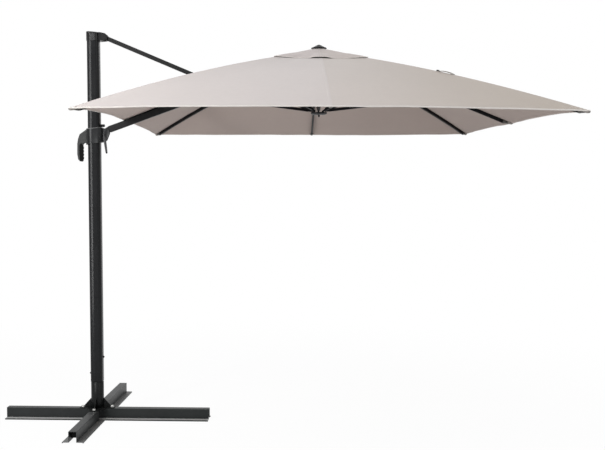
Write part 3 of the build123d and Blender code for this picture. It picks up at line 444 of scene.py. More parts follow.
class Finish(Enum):
    """The finishes that the parasol's pieces choose from."""

    # The side and depth beams share one paint: the depth beam's lighter colour, and the gap between
    # their dust amounts, are painted light.
    BASE = PowderCoat("base_powder_coat", (0.0150, 0.0170, 0.0170), 0.42, dust_and_top_light=0.62)
    DEPTH = PowderCoat("depth_beam_powder_coat", (0.024, 0.026, 0.026), 0.42, dust_and_top_light=0.16)
    GUSSET = PowderCoat("gusset_powder_coat", (0.005, 0.0055, 0.0055), 0.40, specular=0.10)
    POST = PowderCoat("post_powder_coat", (0.0065, 0.0072, 0.0072), 0.36, specular=0.14)
    MAST = PowderCoat("mast_anthracite", (0.0068, 0.0072, 0.008), 0.27, 0.02, specular=0.15)
    ARM = PowderCoat("arm_powder_coat", (0.0085, 0.009, 0.0095), 0.36, 0.03)
    STRUT = PowderCoat("strut_powder_coat", (0.0130, 0.0133, 0.0135), 0.38, 0.03)
    RIB = PowderCoat("rib_powder_coat", (0.005, 0.005, 0.006), 0.45, specular=0.12)
    SHELL = MouldedPlastic("carriage_shell", (0.0115, 0.0122, 0.0130), 0.31, 0.06)
    HANDLE = MouldedPlastic("handle_grey", (0.026, 0.027, 0.027), 0.40)
    HEAD = MouldedPlastic("head_shell", (0.0100, 0.0100, 0.0105), 0.30, 0.06)
    BLACK = MouldedPlastic("black_moulding", (0.006, 0.006, 0.007), 0.5)
    RUBBER = MouldedPlastic("grip_rubber", (0.0028, 0.0028, 0.0028), 0.7, 0.2, 0.08)
    TIP = MouldedPlastic("tip_grey", (0.115, 0.110, 0.104), 0.5)
    LEVER = PowderCoat("lever_paint", (0.040, 0.040, 0.041), 0.42)
    # A pale grey that paints the highlight along the carriage's top edge.
    LIP = PowderCoat("lip_grey", (0.120, 0.121, 0.121), 0.45)
    ZINC = PlatedSteel("zinc_plate", (0.72, 0.72, 0.70), 0.35)
    PIN = PlatedSteel("dark_pin_steel", (0.035, 0.036, 0.038), 0.38)
    OUTER = CanopyFabric("canopy_outer", (0.600, 0.545, 0.525), (0.500, 0.430, 0.358))
    # The vent flap's top: the top's colours a little darker, painted shade.
    VENT = CanopyFabric("canopy_vent", (0.560, 0.492, 0.472), (0.470, 0.400, 0.340))
    # The underside: a darker copy of the top's colours, painted shade.
    INNER = CanopyFabric("canopy_inner", (0.428, 0.353, 0.318), (0.372, 0.300, 0.266), 0.1)
    HEM = Webbing("hem_binding", (0.72, 0.68, 0.64))
    STRAP = Webbing("strap_webbing", (0.30, 0.275, 0.250))
    # A near-black band laid on the sheet under the vent flap: painted shade in the vent's gap.
    NET = Webbing("vent_net", (0.016, 0.012, 0.011))

    def material(self) -> bpy.types.Material:
        """The finish's material, made once."""
        found = bpy.data.materials.get(self.value.name)
        return found or self.value.build()


# ------------------------------------------------------------------ mesh tools
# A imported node, its finish, the radius of its rounded edges and the steps of the rounding.
Fitting = tuple[str, Finish, float, int]


class MeshEdit:
    """Opens a mesh for editing, and writes it back on the way out."""

    def __init__(self, mesh: bpy.types.Mesh) -> None:
        """Take the mesh."""
        self.mesh = mesh
        self.build = bmesh.new()

    def __enter__(self) -> bmesh.types.BMesh:
        """Open the mesh."""
        self.build.from_mesh(self.mesh)
        return self.build

    def __exit__(self, *_: Any) -> None:
        """Write the mesh back."""
        self.build.to_mesh(self.mesh)
        self.build.free()


def slice_all(build: bmesh.types.BMesh, spot: Vector | Point, normal: Vector | Point) -> None:
    """Add a cut round the whole mesh where a plane crosses it."""
    geometry = [*build.verts, *build.edges, *build.faces]
    bmesh.ops.bisect_plane(build, geom=geometry, plane_co=spot, plane_no=normal)


def circle(count: int) -> list[Span]:
    """Cosine and sine of each step of a whole turn."""
    turns = [2 * math.pi * k / count for k in range(count)]
    return [(math.cos(turn), math.sin(turn)) for turn in turns]


def squircle(count: int, power: float) -> list[Span]:
    """A square with rounded corners and a half-width of one.

    Args:
        count: number of points.
        power: 2 for a circle, and more for a squarer shape.

    Returns:
        The points.
    """
    points = []
    for c, s in circle(count):
        size = 1 / (abs(c) ** power + abs(s) ** power) ** (1 / power)
        points.append((size * c, size * s))
    return points


def lathe(profile: Sequence[Span], x: float, count: int) -> list[list[Vector]]:
    """Rings of this radius and height round an upright axis at x."""
    turn = circle(count)
    return [[Vector((x + r * c, r * s, height)) for c, s in turn] for r, height in profile]


class Shop:
    """Makes pieces from rows of points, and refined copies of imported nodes."""

    weld: float = 2e-6
    flat_angle: float = math.radians(0.4)
    hard_angle: float = 0.6
    sharp_angle: float = 48.0

    @staticmethod
    def stand(name: str, data: Any) -> bpy.types.Object:
        """A new object in the scene.

        Args:
            name: its name.
            data: its mesh, lamp or camera.

        Returns:
            The object.
        """
        obj = bpy.data.objects.new(name, data)
        bpy.context.scene.collection.objects.link(obj)
        return obj

    @staticmethod
    def shade(mesh: bpy.types.Mesh, angle: float) -> None:
        """Shade smooth, but for edges sharper than this many degrees."""
        mesh.shade_smooth()
        mesh.set_sharp_from_angle(angle=math.radians(angle))

    @staticmethod
    def settle(obj: bpy.types.Object) -> None:
        """Apply an object's modifiers to its mesh.

        Args:
            obj: the object.
        """
        bpy.context.view_layer.update()
        graph = bpy.context.evaluated_depsgraph_get()
        mesh = bpy.data.meshes.new_from_object(obj.evaluated_get(graph))
        obj.modifiers.clear()
        obj.data = mesh

    @classmethod
    def thicken(cls, obj: bpy.types.Object, thickness: float, offset: float, slots: int) -> None:
        """Give a sheet its thickness.

        Args:
            obj: the sheet.
            thickness: its thickness.
            offset: 1 to grow along the normal, 0 to both sides.
            slots: 1 where the back and the rim have materials of their own, else 0.
        """
        thick = obj.modifiers.new("thick", "SOLIDIFY")
        thick.thickness = thickness
        thick.offset = offset
        thick.material_offset = slots
        thick.material_offset_rim = 2 * slots
        cls.settle(obj)

    @staticmethod
    def body_of(node: str) -> str:
        """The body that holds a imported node."""
        bodies = frame["record"]["behaviour"]["bodies"]
        return next(body for body, nodes in bodies.items() if node in nodes)

    @staticmethod
    def rings(rows: Rows, closed: bool, caps: bool) -> tuple[list[tuple], list[tuple]]:
        """Join rows of points into a skin.

        Args:
            rows: rows with the same number of points.
            closed: the rows are loops.
            caps: close the first and last row.

        Returns:
            The points and the faces.
        """
        points = [tuple(point) for row in rows for point in row]
        wide = len(rows[0])
        faces = []
        for r in range(len(rows) - 1):
            for k in range(wide if closed else wide - 1):
                n = (k + 1) % wide
                low, high = r * wide, (r + 1) * wide
                faces.append((low + k, low + n, high + n, high + k))
        if caps:
            last = (len(rows) - 1) * wide
            faces.append(tuple(range(wide)))
            faces.append(tuple(reversed(range(last, last + wide))))
        return points, faces

    @classmethod
    def piece(
        cls,
        name: str,
        rows: Rows,
        body: str,
        finish: Finish,
        angle: float = 40.0,
        closed: bool = True,
        caps: bool = True,
    ) -> bpy.types.Object:
        """A new piece, skinned over rows of points.

        Args:
            name: the piece's name.
            rows: its rows, in metres.
            body: the body that it rides on.
            finish: its finish.
            angle: edges sharper than this stay sharp, in degrees.
            closed: the rows are loops.
            caps: close the first and last row.

        Returns:
            The object.
        """
        points, faces = cls.rings(rows, closed, caps)
        mesh = bpy.data.meshes.new(name)
        mesh.from_pydata(points, [], faces)
        mesh.validate()
        with MeshEdit(mesh) as build:
            bmesh.ops.recalc_face_normals(build, faces=build.faces)
        cls.shade(mesh, angle)
        obj = cls.stand(name, mesh)
        obj.data.materials.append(finish.material())
        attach(obj, body)
        LOG.info("made %s", name)
        return obj

    @classmethod
    def refine(
        cls, node: str, finish: Finish, bevel: float, segments: int = 2
    ) -> bpy.types.Object:
        """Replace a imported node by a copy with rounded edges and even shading.

        Args:
            node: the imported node.
            finish: its finish.
            bevel: radius of the rounding, in metres.
            segments: steps of the rounding.

        Returns:
            The new piece.
        """
        mesh = frame["nodes"][node].data.copy()
        mesh.name = "fine_" + node
        mesh.materials.clear()
        with MeshEdit(mesh) as build:
            bmesh.ops.remove_doubles(build, verts=build.verts, dist=cls.weld)
            bmesh.ops.dissolve_limit(
                build, angle_limit=cls.flat_angle, verts=build.verts, edges=build.edges
            )
            paired = [edge for edge in build.edges if len(edge.link_faces) == 2]
            hard = [edge for edge in paired if edge.calc_face_angle(0) > cls.hard_angle]
            bmesh.ops.bevel(
                build,
                geom=hard,
                offset=bevel,
                segments=segments,
                profile=0.5,
                affect="EDGES",
                clamp_overlap=True,
            )
        if mesh.has_custom_normals:
            mesh.attributes.remove(mesh.attributes["custom_normal"])
        cls.shade(mesh, cls.sharp_angle)
        obj = cls.stand("fine_" + node, mesh)
        obj.data.materials.append(finish.material())
        obj.modifiers.new("even", "WEIGHTED_NORMAL").keep_sharp = True
        cls.settle(obj)
        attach(obj, cls.body_of(node))
        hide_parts(node)
        LOG.info("refined %s", node)
        return obj

    @classmethod
    def refine_all(cls, fittings: Sequence[Fitting]) -> dict[str, bpy.types.Object]:
        """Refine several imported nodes, and give the new pieces by node."""
        return {fitting[0]: cls.refine(*fitting) for fitting in fittings}


# ------------------------------------------------------------------ base and mast
@dataclass
class CrossBase:
    """The steel cross, its plate, gussets, post and bolts."""

    fittings: tuple[Fitting, ...] = (
        ("base_beam_side", Finish.BASE, 0.0012, 2),
        ("base_beam_depth", Finish.DEPTH, 0.0012, 2),
        ("base_plate", Finish.GUSSET, 0.0012, 2),
        ("base_gussets", Finish.GUSSET, 0.0012, 2),
        ("base_post", Finish.POST, 0.0012, 2),
        ("base_bolts", Finish.ZINC, 0.0006, 2),
        ("base_nuts", Finish.ZINC, 0.0006, 2),
    )
    turn: float = math.radians(-3.45)
    beam_ends: Span = (-0.660, 0.815)
    plug_inset: float = 0.030
    plug_low: float = 0.030
    plug_high: float = 0.0758
    plug_half: float = 0.0248
    # Distance behind the rim, and size.
    plug_steps: tuple[Span, ...] = ((0.0, 0.78), (0.0, 0.97), (0.0015, 1.0), (0.010, 1.0))

    def plug(self, name: str, quarter: int, reach: float) -> None:
        """Dished stopper inside one end of a beam.

        Args:
            name: the piece's name.
            quarter: 0 for the side beam, 1 for the depth beam.
            reach: the beam's end, from the middle of the cross.
        """
        turn = self.turn + math.pi / 2 * quarter
        c, s = math.cos(turn), math.sin(turn)
        way = 1 if reach > 0 else -1
        middle = (self.plug_low + self.plug_high) / 2
        half = (self.plug_high - self.plug_low) / 2
        rows = []
        for back, size in self.plug_steps:
            along = reach - way * (self.plug_inset + back)
            row = []
            for across, up in squircle(count=32, power=8):
                side = self.plug_half * size * across
                height = middle + half * size * up
                row.append(Vector((along * c - side * s, along * s + side * c, height)))
            rows.append(row)
        Shop.piece(name, rows, Shop.body_of("base_plate"), Finish.RUBBER)

    def build(self) -> None:
        """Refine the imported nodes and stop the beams' ends."""
        Shop.refine_all(self.fittings)
        for quarter, beam in enumerate(("side", "depth")):
            for end, reach in zip(("low", "high"), self.beam_ends):
                self.plug(f"beam_plug_{beam}_{end}", quarter, reach)


@dataclass
class Mast:
    """The round-cornered mast extrusion and what is fixed to it."""

    fittings: tuple[Fitting, ...] = (
        ("mast_bushes", Finish.BLACK, 0.0006, 2),
        ("mast_lock_screws", Finish.BLACK, 0.0012, 2),
        ("mast_stop", Finish.BLACK, 0.0006, 2),
        ("mast_head", Finish.HEAD, 0.0022, 3),
        ("mast_head_lid", Finish.HEAD, 0.0025, 3),
        ("strut_head_pin", Finish.PIN, 0.0008, 2),
    )
    half: float = 0.044
    wall: float = 0.0022
    edge: float = 0.0012
    low: float = 0.274
    high: float = 2.762
    corner_steps: int = 14
    flat_start: float = -0.0235
    flat_end: float = -0.0115
    flat_turn: float = math.radians(9.0)
    side_turn: float = math.radians(19.0)
    side_share: float = 0.6
    head_depth: float = 0.046
    collar_low: float = 0.0855
    collar_gap: float = 0.0012
    collar_bore: float = 0.0415
    collar_radius: float = 0.0455
    collar_edge: float = 0.002
    cheek_inner: float = 0.0215
    cheek_bend: float = 0.0022
    # Distance from the mast's axis, lowest and highest point, and half the width.
    cheek_stations: tuple[tuple[float, float, float, float], ...] = (
        (0.0440, 2.7195, 2.7790, 0.0478), (0.0560, 2.7197, 2.7778, 0.0440),
        (0.0680, 2.7200, 2.7762, 0.0385), (0.0800, 2.7212, 2.7738, 0.0325),
        (0.0900, 2.7240, 2.7700, 0.0280), (0.0980, 2.7300, 2.7630, 0.0248),
        (0.1030, 2.7370, 2.7560, 0.0235),
    )

    def face(self) -> list[Span]:
        """One face's section: its narrow flat, the face and the corner after it.

        Returns:
            The points, across and out.
        """
        drop = (self.flat_end - self.flat_start) * math.tan(self.flat_turn)
        radius = (self.flat_start + self.half) / (1 - math.sin(self.flat_turn))
        middle = self.half - radius
        low = self.half - drop - radius * math.cos(self.flat_turn)
        spots = [(self.flat_start, self.half - drop), (self.flat_end, self.half), (low, self.half)]
        for k in range(1, self.corner_steps):
            turn = (math.pi / 2 - self.flat_turn) * k / self.corner_steps
            spots.append((low + radius * math.sin(turn), middle + radius * math.cos(turn)))
        return spots

    def loop(self, inward: float, height: float) -> list[Vector]:
        """One loop of the section.

        Args:
            inward: how far inside the outer section it lies.
            height: its height above the ground.

        Returns:
            The points.
        """
        points = []
        size = (self.half - inward) / self.half
        for c, s in circle(4):
            for x, y in self.face():
                across, out = x * size, -y * size
                points.append(Vector((across * c - out * s, across * s + out * c, height)))
        return points

    def tube(self) -> None:
        """The mast's open-ended extrusion."""
        wall, edge, low, high = self.wall, self.edge, self.low, self.high
        outline = [(wall, low), (edge, low), (0.0, low + edge)]
        outline += [(0.0, high - edge), (edge, high), (wall, high), (wall, low)]
        rows = [self.loop(inward, height) for inward, height in outline]
        tube = Shop.piece("mast_tube", rows, "mast", Finish.MAST, angle=7, caps=False)
        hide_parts("mast")

    def collar(self) -> None:
        """Sleeve round the post under the mast."""
        low, high = self.collar_low, self.low - self.collar_gap
        bore, radius, edge = self.collar_bore, self.collar_radius, self.collar_edge
        profile = [(bore, low), (radius - edge, low), (radius, low + edge)]
        profile += [(radius, high - edge), (radius - edge, high), (bore, high), (bore, low)]
        rows = lathe(profile, x=0.0, count=72)
        body = Shop.body_of("base_post")
        Shop.piece("post_collar", rows, body, Finish.POST, angle=50, caps=False)

    def cheek(self, side: str, way: int) -> None:
        """Tapering side of the head, from the mast's width to the strut's fork.

        Args:
            side: near or far.
            way: -1 for the near side, 1 for the far one.
        """
        rows = []
        inner = self.cheek_inner
        for x, low, high, out in self.cheek_stations:
            soft = min(self.cheek_bend, (out - inner) * 0.6)
            section = [(inner, low), (out - soft, low), (out, low + soft)]
            section += [(out, high - soft), (out - soft, high), (inner, high)]
            rows.append([Vector((x, way * y, z)) for y, z in section])
        Shop.piece("head_cheek_" + side, rows, "mast", Finish.HEAD, angle=30)

    def build(self) -> None:
        """Make the tube and its collar and refine its fittings."""
        self.tube()
        self.collar()
        self.cheek("near", -1)
        self.cheek("far", 1)
        made = Shop.refine_all(self.fittings)
        self.flute(made["mast_head"], self.head_depth)

    @classmethod
    def flute(cls, shell: bpy.types.Object, depth: float) -> None:
        """Give a moulded shell's near face a narrow flat over the mast's corner.

        Args:
            shell: the refined shell.
            depth: points nearer to the front than this move.
        """
        with MeshEdit(shell.data) as build:
            for x in (cls.flat_start, cls.flat_end):
                slice_all(build, (x, 0, 0), (1, 0, 0))
            for vertex in build.verts:
                if vertex.co.y < -depth and vertex.co.x < cls.flat_end:
                    inside = cls.flat_end - max(vertex.co.x, cls.flat_start)
                    beyond = max(0.0, cls.flat_start - vertex.co.x) * cls.side_share
                    lean = inside * math.tan(cls.flat_turn) + beyond * math.tan(cls.side_turn)
                    vertex.co.y += lean
        Shop.shade(shell.data, angle=5)


@dataclass
class ArmAndStrut:
    """The strut, the arm and their fittings."""

    fittings: tuple[Fitting, ...] = (
        ("strut", Finish.STRUT, 0.0016, 3),
        ("arm", Finish.ARM, 0.0016, 3),
        ("arm_root", Finish.HEAD, 0.001, 2),
        ("arm_strut_bracket", Finish.HEAD, 0.001, 2),
        ("arm_end_fork", Finish.HEAD, 0.001, 2),
        ("arm_strut_pin", Finish.PIN, 0.0006, 2),
        ("arm_end_pin", Finish.PIN, 0.0006, 2),
    )

    def build(self) -> None:
        """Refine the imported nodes."""
        Shop.refine_all(self.fittings)


@dataclass
class Carriage:
    """The sliding carriage with its handle, trigger and lock lever."""

    fittings: tuple[Fitting, ...] = (
        ("carriage_front", Finish.SHELL, 0.0025, 3),
        ("carriage_rear", Finish.SHELL, 0.0025, 3),
        ("carriage_liner", Finish.BLACK, 0.0005, 2),
        ("carriage_screws", Finish.PIN, 0.0004, 2),
        ("arm_root_pin", Finish.PIN, 0.001, 2),
        ("handle", Finish.HANDLE, 0.001, 2),
        ("trigger", Finish.RUBBER, 0.0018, 3),
        ("trigger_pin", Finish.PIN, 0.0004, 2),
        ("lever_ball", Finish.BLACK, 0.0004, 2),
    )
    front_depth: float = 0.050
    lever_pivot: Point = (0.0730, -0.0278, 2.0520)
    lever_lean: float = math.radians(7.4)
    # Distance below the pivot, half the width and half the thickness.
    lever_stations: tuple[tuple[float, float, float], ...] = (
        (-0.0105, 0.0040, 0.0022), (-0.0085, 0.0076, 0.0036), (-0.0030, 0.0100, 0.0044),
        (0.0060, 0.0104, 0.0044), (0.0300, 0.0098, 0.0042), (0.0700, 0.0086, 0.0040),
        (0.1150, 0.0074, 0.0036), (0.1210, 0.0068, 0.0034),
    )
    # Distance out from the lever, and radius.
    stud_profile: tuple[Span, ...] = (
        (0.0, 0.0064),
        (0.0066, 0.0064),
        (0.0078, 0.0050),
        (0.0082, 0.0020),
    )
    grip_face: float = 0.0158
    grip_inner: float = 0.0092
    grip_edge: float = 0.0012
    grip_face_share: float = 0.90
    grip_top: tuple[Span, ...] = ((-0.1020, 1.9930), (-0.0900, 1.9925), (-0.0840, 1.9860))
    grip_bump: tuple[Span, ...] = (
        (-0.0838, 0.0), (-0.0798, 0.0060), (-0.0790, 0.0110), (-0.0798, 0.0160),
        (-0.0832, 0.0215),
    )
    grip_bumps: int = 4
    grip_bump_top: float = 1.9740
    grip_bump_pitch: float = 0.0245
    grip_back: tuple[Span, ...] = (
        (-0.0850, 1.8700), (-0.0920, 1.8655), (-0.1000, 1.8690), (-0.1055, 1.8800),
        (-0.1078, 1.9050), (-0.1085, 1.9500), (-0.1068, 1.9800),
    )
    lip_height: float = 2.0993
    lip_slope: float = 0.094
    # Half the width, and height.
    lip_profile: tuple[Span, ...] = (
        (0.0460, -0.0010), (0.0540, -0.0010), (0.0546, 0.0012), (0.0535, 0.0036),
        (0.0462, 0.0036), (0.0460, -0.0010),
    )

    def lever(self) -> None:
        """Forged lock lever: a tapering rounded bar with a domed stud head."""
        start = Vector(self.lever_pivot)
        along = Vector((math.sin(self.lever_lean), 0.0, -math.cos(self.lever_lean)))
        side = Vector((math.cos(self.lever_lean), 0.0, math.sin(self.lever_lean)))
        depth = Vector((0.0, 1.0, 0.0))
        body = Shop.body_of("lock_lever")
        rows = []
        for at, wide, thick in self.lever_stations:
            middle = start + along * at
            bar = squircle(count=24, power=2.6)
            rows.append([middle + side * (wide * x) + depth * (thick * y) for x, y in bar])
        blade = Shop.piece("lever_blade", rows, body, Finish.LEVER, angle=50)
        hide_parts("lock_lever")
        rows = []
        for out, radius in self.stud_profile:
            middle = start - depth * out
            rows.append([middle + Vector((radius * c, 0, radius * s)) for c, s in circle(28)])
        Shop.piece("lever_stud_head", rows, body, Finish.PIN, angle=50)

    def grip(self, side: str, way: int) -> None:
        """Rubber pad with four finger bumps on one side of the handle.

        Args:
            side: near or far.
            way: -1 for the near side, 1 for the far one.
        """
        outline = list(self.grip_top)
        for bump in range(self.grip_bumps):
            top = self.grip_bump_top - self.grip_bump_pitch * bump
            outline += [(x, top - down) for x, down in self.grip_bump]
        outline += self.grip_back
        middle = sum(x for x, _ in outline) / len(outline)
        face, share = self.grip_face, self.grip_face_share
        rows = []
        for y, size in ((self.grip_inner, 1.0), (face - self.grip_edge, 1.0), (face, share)):
            rows.append([Vector((middle + (x - middle) * size, way * y, z)) for x, z in outline])
        Shop.piece("grip_pad_" + side, rows, Shop.body_of("handle"), Finish.RUBBER)

    def lip(self) -> None:
        """Pale lip round the mast's opening on top of the carriage: a painted highlight along its
        top edge.
        """
        rows = []
        for size, rise in self.lip_profile:
            row = []
            for x, y in squircle(count=64, power=4.5):
                height = self.lip_height + self.lip_slope * size * x + rise
                row.append(Vector((size * x, size * y, height)))
            rows.append(row)
        body = Shop.body_of("carriage_front")
        Shop.piece("carriage_lip", rows, body, Finish.LIP, caps=False)

    def build(self) -> None:
        """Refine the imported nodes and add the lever, the lip and the grip pads."""
        made = Shop.refine_all(self.fittings)
        Mast.flute(made["carriage_front"], self.front_depth)
        self.lever()
        self.lip()
        self.grip("near", -1)
        self.grip("far", 1)


@dataclass
class CrownAndRunner:
    """Hub, spacer, cap and runner."""

    fittings: tuple[Fitting, ...] = (
        ("crown_hub", Finish.BLACK, 0.001, 2),
        ("crown_pins", Finish.PIN, 0.0004, 2),
        ("runner", Finish.BLACK, 0.0008, 2),
        ("runner_ball", Finish.BLACK, 0.0004, 2),
    )
    # Radius and height.
    spacer_profile: tuple[Span, ...] = (
        (0.0565, 2.6425), (0.0582, 2.6427), (0.0582, 2.6440), (0.0315, 2.6630),
        (0.0295, 2.6630), (0.0565, 2.6425),
    )
    cap_low: float = 2.6712
    flutes: int = 16
    flute_depth: float = 0.022
    flute_radius: float = 0.03
    # Radius, and height over the cap's lower edge.
    cap_profile: tuple[Span, ...] = (
        (0.0074, -0.0430), (0.0080, -0.0422), (0.0080, -0.0012), (0.0092, 0.0), (0.0440, 0.0),
        (0.0556, 0.0), (0.0568, 0.0012), (0.0566, 0.0034), (0.0530, 0.0060), (0.0420, 0.0105),
        (0.0300, 0.0165), (0.0200, 0.0218), (0.0130, 0.0250), (0.0085, 0.0270),
        (0.0035, 0.0280),
    )

    def spacer(self) -> None:
        """Moulded cone between the hub and the cap, under the vent flap."""
        rows = lathe(self.spacer_profile, x=CROWN_X, count=64)
        body = Shop.body_of("crown_cap")
        Shop.piece("crown_spacer", rows, body, Finish.BLACK, angle=50, caps=False)

    def cap(self) -> None:
        """Low fluted cone over the crown, with the stem that carries it."""
        steps = 128
        rows = []
        for radius, height in self.cap_profile:
            depth = self.flute_depth * min(1.0, radius / self.flute_radius)
            row = []
            for k, (c, s) in enumerate(circle(steps)):
                wave = 0.5 - 0.5 * math.cos(2 * math.pi * self.flutes * k / steps)
                reach = radius * (1 - depth * wave)
                row.append(Vector((CROWN_X + reach * c, reach * s, self.cap_low + height)))
            rows.append(row)
        body = Shop.body_of("crown_cap")
        made = Shop.piece("fluted_cap", rows, body, Finish.BLACK, angle=50)
        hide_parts("crown_cap")

    def build(self) -> None:
        """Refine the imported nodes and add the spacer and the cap."""
        Shop.refine_all(self.fittings)
        self.spacer()
        self.cap()


# ------------------------------------------------------------------ ribs
@dataclass(frozen=True)
class RibLine:
    """The line of one rib and of the fabric over it."""

    name: str
    azimuth: float
    offset: float
    reach: float
    tip_height: float
    seat: float
    bow_radius: float
    pivot_radius: ClassVar[float] = 0.055
    pivot_height: ClassVar[float] = 2.628
    half_height: ClassVar[float] = 0.0125
    short_of_hem: ClassVar[float] = 0.014
    under_hem: ClassVar[float] = 0.001

    def chord(self) -> tuple[float, float, float]:
        """The straight line under the rib's bow.

        Returns:
            Its length, its angle from the vertical and the height of the bow.
        """
        run = self.reach - self.short_of_hem - self.pivot_radius
        end = self.tip_height - self.half_height - self.seat - self.under_hem
        fall = self.pivot_height - end
        length = math.hypot(run, fall)
        return length, math.atan2(run, fall), length**2 / (8 * self.bow_radius)

    def spot(self, radius: float, height: float) -> Vector:
        """A point of the rib's own vertical plane."""
        c, s = math.cos(self.azimuth), math.sin(self.azimuth)
        return Vector((CROWN_X + radius * c, self.offset + radius * s, height))

    def tangent(self) -> Vector:
        """The level direction square to the rib."""
        return Vector((-math.sin(self.azimuth), math.cos(self.azimuth), 0.0))

    def outward(self) -> Vector:
        """The level direction along the rib."""
        return Vector((math.cos(self.azimuth), math.sin(self.azimuth), 0.0))

    def corner(self) -> bool:
        """Whether the rib ends in a corner of the canopy."""
        return abs(math.sin(2 * self.azimuth)) > 0.1

    def line(self, share: float, above: float | None = None) -> Vector:
        """A point over the rib.

        Args:
            share: share of the way from the crown's axis to the tip.
            above: height over the rib's centre line, square to its chord; the fabric's if left out.

        Returns:
            The point.
        """
        length, turn, bow = self.chord()
        lift = self.half_height + self.seat if above is None else above
        radius = share * self.reach
        along = (radius - self.pivot_radius) / math.sin(turn)
        rise = lift
        for _ in range(4):
            part = along / length
            rise = 4 * bow * part * (1 - part) + lift
            along = (radius - self.pivot_radius - rise * math.cos(turn)) / math.sin(turn)
        return self.spot(radius, self.pivot_height - along * math.cos(turn) + rise * math.sin(turn))


@dataclass(frozen=True)
class RibPlan:
    """Where one rib runs and how its tip sits."""

    side: int
    depth: int
    tip_rise: float
    offset: float = 0.0
    bow_radius: float = 18.9


